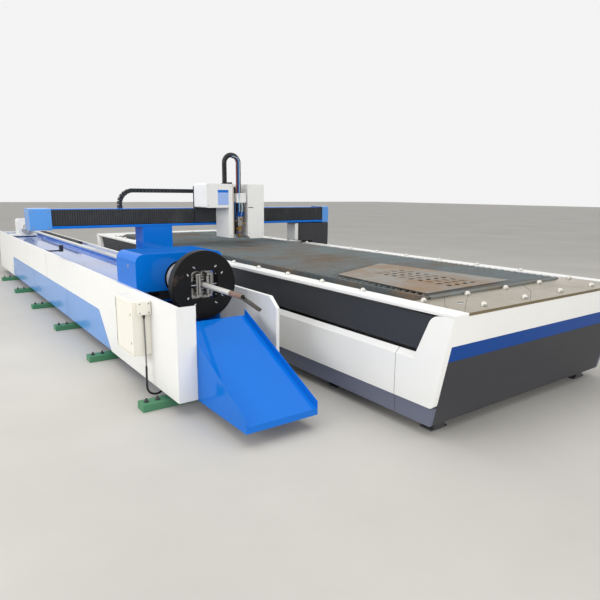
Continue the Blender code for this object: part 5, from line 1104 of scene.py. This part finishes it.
def build_carriage_trim():
    """The left cover's inset panel, a beige strip at its right edge that is a painted reflection, the right cover's
    slot as a dark block of painted shade, the covers' screws and the hose's flange.
    """
    size = sizes()
    left_low, left_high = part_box("left_cover")
    right_low, right_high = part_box("right_cover")
    front = left_low.y
    base, edge = front - 0.0016, 0.0005
    panel_left, panel_right, panel_foot, panel_split, panel_top = 0.018, 0.164, 1.406, 1.555, 1.587
    for name, material, z0, z1 in (
        ("panel_lower", "panel_blue", panel_foot, panel_split), ("panel_upper", "blue", panel_split, panel_top),
    ):
        plate = block((panel_left, base, z0), (panel_right, front, z1), edge)
        finished(plate, name, material, "carriage")
    # Painted reflection: the beige strip stands in for the warm reflection seen by the channel between the covers
    strip = block((left_high.x - 0.018, base, left_low.z + 0.006), (left_high.x - 0.001, front, left_high.z - 0.004),
                  edge)
    finished(strip, "cover_painted_reflection_strip", "beige", "carriage")
    # Painted shade: the slot is a thin dark block that stands in for the shade inside the opening
    slot_left, slot_right, slot_foot, slot_top = 0.443, 0.517, 1.368, 1.377
    slot = framed((slot_left, base, slot_foot), (slot_right, front, slot_top), edge, 0.0012, 0.001)
    finished(slot, "cover_slot_painted_shade", "gap_and_shade", "carriage")
    near_edge, top_edge = 0.025, 0.03
    spots = [((x, front, z), FRONT) for x, z in (
        (left_low.x + 0.022, left_high.z - top_edge), (left_low.x + 0.022, 1.40), (left_high.x - 0.04, 1.03),
        (left_high.x - 0.04, left_high.z - top_edge), (right_low.x + near_edge, right_high.z - top_edge),
        (right_high.x - near_edge, right_high.z - top_edge), (right_high.x - near_edge, 1.05),
        (right_low.x + near_edge, 1.05),
    )]
    screws("cover_screws", spots, "steel_plain", "carriage", size.screw * 0.7)
    arch_x, arch_y, half = low("hose_arch").x + size.hose, middle("hose_arch").y, 0.036
    flange = framed((arch_x - half, arch_y - half, left_high.z), (arch_x + half, arch_y + half, left_high.z + 0.004),
                    0.0015, 0.006, -0.002, to_top)
    finished(flange, "hose_flange", "rubber", "carriage")


def hose_line():
    """The arch's line: up from the cover, over in a half round and down to the head's bracket."""
    lowest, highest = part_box("hose_arch")
    r = sizes().hose
    start_x, end_x = lowest.x + r, highest.x - r
    y = middle("hose_arch").y
    half = (end_x - start_x) / 2
    crown = highest.z - r - half
    start_z = high("left_cover").z
    line = [Vector((start_x, y, start_z)), Vector((start_x, y, (start_z + crown) / 2))]
    for i in range(13):
        angle = math.pi * (1 - i / 12)
        line.append(Vector((start_x + half + half * math.cos(angle), y, crown + half * math.sin(angle))))
    return line + [Vector((end_x, y, (lowest.z + crown) / 2)), Vector((end_x, y, lowest.z))]


def build_hoses():
    """The ribbed arch to the head with the thin hoses tied beside it."""
    size = sizes()
    line = hose_line()
    length = sum((b - a).length for a, b in zip(line, line[1:]))
    count = int(length / size.conduit_ring) * 4
    rib = 0.0022
    radii = [size.hose - rib + rib * math.cos(2 * math.pi * i / 4) for i in range(count)]
    start, end = line[0], line[-1]
    arch = hose("hose_rings", "rubber", None, smooth_path(line, count), radii, 4)
    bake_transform(arch)
    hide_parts("hose_arch")
    crown, sink = 1.98, Vector((0, 0, -0.012))
    for name, material, side, low_z, radius in (
        ("gas_hose", "hose_red", (-0.034, -0.014, -0.006), 1.50, 0.0095),
        ("cooling_hose", "hose_blue", (-0.018, -0.031, -0.004), 1.322, 0.0065),
        ("return_hose", "hose_pale", (-0.004, -0.034, -0.004), 1.322, 0.0055),
    ):
        route = [p + Vector(side) for p in line[8:-1]]
        route = [p + sink if p.z > crown else p for p in route]
        route.append(Vector((end.x + side[0], end.y + side[1] * 0.9, low_z)))
        tube = hose(name, material, None, smooth_path(route, 60), radius)
        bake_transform(tube)
    r, proud = size.hose, size.hose + 0.0025
    section = [(r, -0.003), (proud, -0.0025), (proud, 0.0025), (r, 0.003)]
    ties = [ring(section, (end.x, end.y, z), sides=24) for z in (1.78, 1.66, 1.56)]
    finished(joined(ties), "hose_ties", "plastic", "head")


def build_head():
    """The laser head's rings, front plate, connectors, hose clamp, screws and leads, and the lift's rails."""
    centre = middle("cutting_head")
    x, y = centre.x, middle("nozzle").y
    bore = 0.020
    for name, material, slot, profile in (
        ("head_band", "hose_blue", "blue_enamel",
         [(0.030, 1.2625), (0.0405, 1.2635), (0.0405, 1.300), (0.030, 1.3015)]),
        ("head_collar", "turned", "bright_steel", [(0.033, 1.214), (0.0375, 1.216), (0.0375, 1.252), (0.034, 1.2545)]),
        ("head_lens_ring", "mirror", "bright_steel",
         [(0.0245, 1.150), (0.0305, 1.152), (0.0305, 1.158), (0.0285, 1.160), (0.0285, 1.176), (0.0305, 1.178),
          (0.0305, 1.186), (0.0245, 1.188)]),
        ("head_ring_nut", "brass", "brass",
         [(0.0242, 1.082), (0.0295, 1.084), (0.0295, 1.098), (0.027, 1.100), (0.027, 1.120), (0.0295, 1.122),
          (0.0295, 1.134), (0.0242, 1.136)]),
        ("head_sensor", "panel_violet", "bright_steel",
         [(0.0242, 1.046), (0.028, 1.047), (0.030, 1.052), (0.030, 1.070), (0.0242, 1.074)]),
    ):
        section = [*profile, (bore, profile[-1][1] - 0.001), (bore, profile[0][1] + 0.001)]
        finished(ring(section, (x, y, 0), sides=36), name, material, "head")
    slide_y = low("lift_slide").y
    track = slide_y + 0.2201
    plate = framed((x - 0.042, slide_y - 0.0012, 1.2628), (x + 0.042, slide_y + 0.004, 1.3185), 0.001, 0.005, 0.0006)
    finished(plate, "head_front_plate", "stripe", "head")
    plug = lathe([(0.008, 0.0), (0.008, 0.012), (0.0105, 0.0125), (0.0105, 0.026), (0.007, 0.028), (0.007, 0.040)],
                 sides=16)
    places = [facing((x - 0.035, y - 0.004, 1.2), (-1, 0, 0.3)), facing((x + 0.035, y - 0.004, 1.17), (1, 0, 0.2)),
              facing((x - 0.026, y - 0.012, 1.10), (-0.8, -0.6, 0.4)), facing((x, y - 0.030, 1.225), (0, -1, 0.4))]
    finished(set_at(plug, places), "head_connectors", "brass", "head")
    clamp_y = -0.987
    clamp = framed((x - 0.052, clamp_y, 1.432), (x + 0.082, -0.915, 1.545), 0.004, 0.008, 0.0015)
    foot = block((x - 0.03, -0.916, 1.44), (x + 0.03, track, 1.49), 0.003)
    finished(joined([clamp, foot]), "hose_clamp", "white", "head")
    spots = front_spots((x - 0.04, x + 0.07), clamp_y, (1.445, 1.532))
    spots += front_spots((x - 0.028, x + 0.028), slide_y, (1.272, 1.312))
    spots += front_spots((x - 0.026, x + 0.026), centre.y - 0.030, (1.152, 1.205))
    screws("head_screws", spots, "steel_plain", "head", sizes().screw * 0.45)
    # Each lead's route is given from the head's middle in X
    for name, material, radius, route in (
        ("head_hose_blue", "hose_blue", 0.006, (
            (-0.055, -0.955, 1.436), (-0.066, -0.962, 1.39), (-0.058, -0.965, 1.30), (-0.053, -0.962, 1.245),
            (-0.046, -0.956, 1.213))),
        ("head_hose_pale", "hose_pale", 0.0065, (
            (0.02, -0.975, 1.434), (0.026, -0.984, 1.39), (0.022, -0.986, 1.34), (0.004, -0.985, 1.27),
            (0.002, -0.983, 1.246))),
        ("head_lead", "rubber", 0.004, (
            (0.058, -0.955, 1.433), (0.064, -0.962, 1.36), (0.062, -0.962, 1.26), (0.052, -0.957, 1.185))),
        ("sensor_lead", "rubber", 0.003, (
            (-0.038, -0.955, 1.434), (-0.072, -0.95, 1.36), (-0.07, -0.955, 1.2), (-0.045, -0.965, 1.12))),
    ):
        hose(name, material, "head", smooth_path([(x + across, deep, z) for across, deep, z in route], 34), radius)
    top = high("carriage_plate").z - 0.02
    rails = [block((x + side - 0.008, track - 0.02, 1.05), (x + side + 0.008, track + 0.02, top), 0.001)
             for side in (-0.085, 0.085)]
    finished(joined(rails), "lift_rails", "steel", "carriage")


# Tube bed


def build_chuck_trim():
    """The disc's long screws and ring, the drum's screws and bands, and the jaws' screws."""
    front = low("chuck_disc").y + 0.005
    axis_x, axis_z = middle("chuck_drum").x, middle("work_tube").z
    screw_circle, spread, sunk = 0.17, math.radians(13), 0.0045
    long_head = block((-0.006, -0.0115, -0.002), (0.006, 0.0115, 0.006), 0.0028, 3)
    inset_faces(long_head, to_top, 0.0025, 0.0016)
    places = []
    for corner in range(4):
        for side in (-1, 1):
            turn = math.pi / 4 + math.pi / 2 * corner + side * spread
            spot = (axis_x + screw_circle * math.cos(turn), front - sunk, axis_z + screw_circle * math.sin(turn))
            places.append(facing(spot, FRONT, -turn))
    finished(set_at(long_head, places), "disc_screws", "mirror", "chuck")
    section = [(0.252, -0.001), (0.2525, 0.0014), (0.2585, 0.0014), (0.259, -0.001)]
    finished(ring(section, (axis_x, front, axis_z), FRONT, 72), "disc_ring", "disc", "chuck")
    spots, screw_count, drum_radius, screw_rows, band_rows = [], 8, 0.1345, (-3.085, -2.905), (-3.118, -3.045, -2.955)
    for i in range(screw_count):
        turn = math.pi / 8 + math.pi / 4 * i
        way = Vector((math.cos(turn), 0, math.sin(turn)))
        spots += [(Vector((axis_x, y, axis_z)) + way * drum_radius, way) for y in screw_rows]
    screws("drum_screws", spots, "gap_and_shade", "chuck", 0.0062)
    section = [(0.1340, -0.003), (0.1362, -0.002), (0.1362, 0.002), (0.1340, 0.003)]
    bands = [ring(section, (axis_x, y, axis_z), BACK, 64) for y in band_rows]
    finished(joined(bands), "drum_bands", "drum", "chuck")
    # A jaw's screws stand in two rows across it, and its outer end is the high one at the right and the top
    for jaw, body, along, across, rows, outward in (
        ("jaw_left", "left_jaw", 0, 2, (0.04, 0.96), False), ("jaw_right", "right_jaw", 0, 2, (0.04, 0.96), True),
        ("jaw_bottom", "bottom_jaw", 2, 0, (0.012, 0.988), False), ("jaw_top", "top_jaw", 2, 0, (0.012, 0.988), True),
    ):
        lowest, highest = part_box(jaw)
        spots = []
        for row in rows:
            for depth in (0.12, 0.62):
                spot = [0, lowest.y + 0.0042, 0]
                for i, share in ((along, depth if outward else 1 - depth), (across, row)):
                    spot[i] = lowest[i] + (highest[i] - lowest[i]) * share
                spots.append((spot, FRONT))
        screws(jaw + "_screws", spots, "mirror", body, 0.0045)


def build_tube_end():
    """The rusty end of the loaded tube with a dark disc of painted shade in its mouth, and the half-cut trough that is
    left of the last piece.
    """
    lowest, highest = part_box("work_tube")
    x, z = middle("work_tube").x, middle("work_tube").z
    r = (highest.x - lowest.x) / 2
    start, wall = lowest.y, 0.003
    profile = [(r - 0.0017, 0.0), (r + 0.0004, 0.0004), (r + 0.0004, 0.172), (r - 0.0008, 0.174)]
    finished(lathe(profile, (x, start, z), BACK), "tube_end", "tube_rust", "feed_spindle")
    # Painted shade: a dark disc at the mouth stands in for the shade in the bore
    bore = lathe([(r - 0.0020, 0.0), (r - 0.0022, 0.0015)], (x, start - 0.0008, z), BACK)
    finished(bore, "tube_mouth_painted_shade", "gap_and_shade", "feed_spindle")
    outline = arc(x, z, r, math.pi, 2 * math.pi) + arc(x, z, r - wall, 2 * math.pi, math.pi)
    reach, slant, sag = 0.22, 0.035, 0.042
    trough = sheet_prism(outline, "Y", start - reach, start)
    # The upper corners of its end are cut back, and then the whole end is bent down
    pick(trough, lambda spot, way: spot.y < start - reach + 0.01 and spot.z > z - 0.004, "VERT")
    bpy.ops.transform.translate(value=(0, slant, 0))
    pick(trough, lambda spot, way: spot.y < start - reach / 2, "VERT")
    bpy.ops.transform.translate(value=(0, 0, -sag))
    set_mode("OBJECT")
    finished(trough, "tube_tail", "tube_dark", "feed_spindle")


def build_feed():
    """The feed chain's links and the feed chuck's rings."""
    lowest, highest, centre = low("feed_chain"), high("feed_chain"), middle("feed_chain")
    count = round((highest.y - lowest.y) / sizes().link)
    pitch = (highest.y - lowest.y) / count
    link = chain_link(pitch, highest.x - lowest.x, highest.z - lowest.z)
    turn = Matrix.Rotation(math.pi / 2, 4, "Z")
    places = [Matrix.Translation((centre.x, lowest.y + pitch * (i + 0.5), centre.z)) @ turn for i in range(count)]
    links = finished(set_at(link, places), "feed_chain_links", "plastic", None)
    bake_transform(links)
    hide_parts("feed_chain")
    face, centre = low("feed_carriage").y, middle("feed_chuck")
    section = [(0.097, -0.004), (0.0998, -0.002), (0.0998, 0.002), (0.097, 0.004)]
    rings = [ring(section, (centre.x, y, centre.z), BACK, 48) for y in (face - 0.02, face - 0.05)]
    finished(joined(rings), "feed_chuck_rings", "turned", "feed_spindle")


def build_bed_trim():
    """The panels' joints and front flange, the chute's gussets, the hood's lock, and the feet with their bolts."""
    pieces = seams("bed_left_insert", (-0.40, 1.60))
    for node in ("bed_left_panel", "bed_right_panel"):
        pieces += seams(node, (0.62,))
    finished(joined(pieces), "bed_joints", "gap_and_shade", "machine")
    chute_low, chute_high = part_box("chute")
    rear, thick = chute_low.y + 0.6797, 0.002
    outline = [(rear, 0.4637), (rear, 0.502), (rear + 0.152, 0.5405), (rear + 0.1696, 0.543)]
    gussets = [sheet_prism(outline, "X", x, x + thick) for x in (chute_low.x + thick, chute_high.x - 2 * thick)]
    finished(joined(gussets), "chute_gussets", "blue", "machine")
    panel_low, panel_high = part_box("bed_left_panel")
    flange_foot, flange_top = 0.704, 0.787
    flange = block((panel_low.x + 0.0302, panel_low.y - PROUD, flange_foot),
                   (panel_high.x, panel_low.y + 0.003, flange_top), 0.0)
    finished(flange, "bed_front_flange", "white", "machine")
    outer, lock_y, lock_z = low("headstock_hood").x, -2.59, 0.953
    section = [(0.006, -0.003), (0.0125, -0.003), (0.0125, 0.0015), (0.0115, 0.0028), (0.0078, 0.0028),
               (0.0072, 0.0012)]
    lock = ring(section, (outer, lock_y, lock_z), (-1, 0, 0), 24)
    finished(lock, "lock_ring", "mirror", "machine")
    # Painted shade: a small dark block in the lock ring stands in for the shade in the keyhole
    half_wide, half_tall = 0.0015, 0.007
    slot = block((outer - 0.0036, lock_y - half_wide, lock_z - half_tall),
                 (outer - 0.001, lock_y + half_wide, lock_z + half_tall), 0.0004)
    finished(slot, "lock_slot_painted_shade", "gap_and_shade", "machine")
    floor_z = sizes().foot_height
    bolt = lathe([(0.020, 0.0), (0.020, 0.003), (0.0135, 0.0032), (0.0135, 0.012), (0.0115, 0.0145), (0.0085, 0.0145),
                  (0.0085, 0.026), (0.007, 0.0275)], sides=12)
    left, right = low("bed_frame").x, low("bed_right_panel").x
    first, pitch, bars, inset = -3.41, 1.40, 6, 0.06
    spots = [Matrix.Translation((x, first + pitch * i + inset, floor_z))
             for i in range(bars) for x in (left + 0.045, left + 0.13, right + 0.07)]
    finished(set_at(bolt, spots), "foot_bolts", "frame_grey", "machine")
    # The frame is split above its bars, which have a colour of their own
    cut, under, over = floor_z + 0.0012, -0.001, 2.0
    feet = finished(slice_of("bed_frame", UP, under, cut), "bed_feet", "green", "machine")
    upper = finished(slice_of("bed_frame", UP, cut, over), "bed_ladder", "blue", "machine")
    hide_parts("bed_frame")
    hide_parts("bed_frame")
    bpy.data.objects.remove(shells.pop("bed_frame"), do_unlink=True)


def build_electric_box():
    """The door's folded sheet, locks and hinges, the junction plate's screws, and the cable with its sleeve."""
    door_low, door_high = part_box("electric_box_door")
    face, rim = door_low.x, 0.006
    sheet = framed((face - 0.0012, door_low.y + rim, door_low.z + rim), (face + 0.004, door_high.y - rim,
                   door_high.z - rim), 0.001, 0.010, 0.0009, lambda spot, way: way.x < -STRAIGHT)
    finished(sheet, "box_door_sheet", "cream", "box_door")
    lock = lathe([(0.010, 0.0), (0.010, 0.002), (0.0085, 0.0032), (0.004, 0.0032), (0.0035, 0.0012)], sides=20)
    places = [facing((face - 0.0008, door_low.y + 0.028, z), (-1, 0, 0))
              for z in (door_low.z + 0.10, door_high.z - 0.10)]
    finished(set_at(lock, places), "box_door_locks", "steel_plain", "box_door")
    pin_x, pin_y = face + 0.003, door_high.y + 0.0035
    hinge = rod((pin_x, pin_y, 0), (pin_x, pin_y, 0.045), 0.0035, 12, 0.0006)
    hinges = set_at(hinge, [Matrix.Translation((0, 0, z)) for z in (door_low.z + 0.045, door_high.z - 0.09)])
    finished(hinges, "box_hinges", "steel_plain", "machine")
    plate_low, plate_high, corner = low("junction_plate"), high("junction_plate"), 0.016
    spots = front_spots((plate_low.x + corner, plate_high.x - corner), plate_low.y,
                        (plate_low.z + corner, plate_high.z - corner))
    screws("junction_screws", spots, "steel_plain", "machine", 0.006)

    x, y = middle("junction_plate").x, middle("junction_plate").y
    top, under, inlet_z, radius, loop, turns = 0.6577, 0.0947, 0.1297, 0.006, 0.07, 6
    route = [(x, y, top), (x, y, top - 0.06), (x, y - 0.006, (top + under) / 2), (x, y, under + 0.06), (x, y, under)]
    for i in range(1, turns):
        angle = math.pi * (1 - i / turns)
        route.append((x + loop + loop * math.cos(angle), y, under - loop * math.sin(angle)))
    route += [(x + 2 * loop, y, under), (x + 2 * loop, y, inlet_z)]
    path = smooth_path(route, 34)
    cable = hose("junction_cable", "cable", "machine", path, radius)
    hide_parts("box_cable")
    sleeve_top, crest, groove = 0.26, 0.0088, 0.0078
    sleeve_points = [p for p in smooth_path(route, 120) if p.z < sleeve_top]
    ribs = [crest if i % 2 else groove for i in range(len(sleeve_points))]
    sleeve = hose("cable_sleeve", "rubber", "machine", sleeve_points, ribs)
    profile = [(0.0125, 0.0), (0.0125, -0.010), (0.010, -0.0105), (0.010, -0.018), (0.0065, -0.032)]
    gland = finished(lathe(profile, (x, y, top + 0.0005), sides=12), "cable_gland", "plastic", "machine")


# Steps


class Step:
    """What the steps share: each runs its builders in order."""

    def execute(self, context):
        for build in self.builders:
            build()
        return {"FINISHED"}


class BuildStage(bpy.types.Operator):
    """Adds the floor, the backdrop, the lights and the camera"""

    bl_idname = "laser_machine.stage"
    bl_label = "Stage"

    def execute(self, context):
        materials.update(build_materials())
        build_stage()
        return {"FINISHED"}


class DressShells(Step, bpy.types.Operator):
    """Finishes the casings, panels, rails and brackets"""

    bl_idname = "laser_machine.shells"
    bl_label = "Casings and frames"
    builders = (dress_shells,)


class BuildSlats(Step, bpy.types.Operator):
    """Builds the sawn slats and their carriers"""

    bl_idname = "laser_machine.slats"
    bl_label = "Slats"
    builders = (build_slats,)


class BuildTableTrim(Step, bpy.types.Operator):
    """Adds the ball units, the joints between sheets and the skirt's corners"""

    bl_idname = "laser_machine.table_trim"
    bl_label = "Table trim"
    builders = (build_ball_units, build_table_trim)


class BuildBellows(Step, bpy.types.Operator):
    """Builds the pleated covers on both sides of the carriage"""

    bl_idname = "laser_machine.bellows"
    bl_label = "Bellows"
    builders = (build_bellows,)


class BuildChain(Step, bpy.types.Operator):
    """Builds the drag chain behind the beam"""

    bl_idname = "laser_machine.beam_chain"
    bl_label = "Beam chain"
    builders = (build_beam_chain,)


class BuildGantryTrim(Step, bpy.types.Operator):
    """Adds the end caps' screws and the leg box's hatch"""

    bl_idname = "laser_machine.gantry_trim"
    bl_label = "Gantry trim"
    builders = (build_gantry_trim,)


class BuildCarriageTrim(Step, bpy.types.Operator):
    """Adds the covers' panel, strip, slot and screws, and the hose's flange"""

    bl_idname = "laser_machine.carriage_trim"
    bl_label = "Carriage trim"
    builders = (build_carriage_trim,)


class BuildHoses(Step, bpy.types.Operator):
    """Builds the ribbed hose arch and the thin hoses beside it"""

    bl_idname = "laser_machine.hoses"
    bl_label = "Hoses"
    builders = (build_hoses,)


class BuildHead(Step, bpy.types.Operator):
    """Adds the laser head's rings, connectors, clamp and leads"""

    bl_idname = "laser_machine.head"
    bl_label = "Laser head"
    builders = (build_head,)


class BuildChuck(Step, bpy.types.Operator):
    """Adds the screws and bands of the disc, drum and jaws"""

    bl_idname = "laser_machine.chuck"
    bl_label = "Chuck"
    builders = (build_chuck_trim,)


class BuildTubeEnd(Step, bpy.types.Operator):
    """Adds the tube's rusty end and the cut trough"""

    bl_idname = "laser_machine.tube_end"
    bl_label = "Tube end"
    builders = (build_tube_end,)


class BuildFeed(Step, bpy.types.Operator):
    """Builds the feed chain's links and the feed chuck's rings"""

    bl_idname = "laser_machine.feed"
    bl_label = "Feed"
    builders = (build_feed,)


class BuildBedTrim(Step, bpy.types.Operator):
    """Adds the bed's joints, flange, gussets, lock, feet and foot bolts"""

    bl_idname = "laser_machine.bed_trim"
    bl_label = "Bed trim"
    builders = (build_bed_trim,)


class BuildElectricBox(Step, bpy.types.Operator):
    """Adds the box's door details and its cable"""

    bl_idname = "laser_machine.electric_box"
    bl_label = "Electric box"
    builders = (build_electric_box,)


OPERATORS = (
    BuildStage, BuildElectricBox, DressShells, BuildSlats, BuildTableTrim, BuildBellows, BuildChain, BuildGantryTrim,
    BuildCarriageTrim, BuildHoses, BuildHead, BuildChuck, BuildTubeEnd, BuildFeed, BuildBedTrim,
)
SETTINGS = (MachineFinishes, MachineSizes, MachineStage)


class LaserMachinePanel(bpy.types.Panel):
    """Lists the steps that build the machine"""

    bl_idname = "VIEW3D_PT_laser_machine"
    bl_label = "Laser machine"
    bl_space_type = "VIEW_3D"
    bl_region_type = "UI"
    bl_category = "Laser machine"

    def draw(self, context):
        for operator in OPERATORS:
            self.layout.operator(operator.bl_idname)


def register():
    for item in (*SETTINGS, *OPERATORS, LaserMachinePanel):
        bpy.utils.register_class(item)
    bpy.types.Scene.machine_finishes = PointerProperty(type=MachineFinishes)
    bpy.types.Scene.machine_sizes = PointerProperty(type=MachineSizes)
    bpy.types.Scene.machine_stage = PointerProperty(type=MachineStage)


def unregister():
    del bpy.types.Scene.machine_stage
    del bpy.types.Scene.machine_sizes
    del bpy.types.Scene.machine_finishes
    for item in reversed((*SETTINGS, *OPERATORS, LaserMachinePanel)):
        bpy.utils.unregister_class(item)


def main():
    register()
    bpy.ops.laser_machine.stage()
    bpy.ops.laser_machine.electric_box()
    bpy.ops.laser_machine.shells()
    bpy.ops.laser_machine.slats()
    bpy.ops.laser_machine.table_trim()
    bpy.ops.laser_machine.bellows()
    bpy.ops.laser_machine.beam_chain()
    bpy.ops.laser_machine.gantry_trim()
    bpy.ops.laser_machine.carriage_trim()
    bpy.ops.laser_machine.hoses()
    bpy.ops.laser_machine.head()
    bpy.ops.laser_machine.chuck()
    bpy.ops.laser_machine.tube_end()
    bpy.ops.laser_machine.feed()
    bpy.ops.laser_machine.bed_trim()


if __name__ == "__main__":
    main()
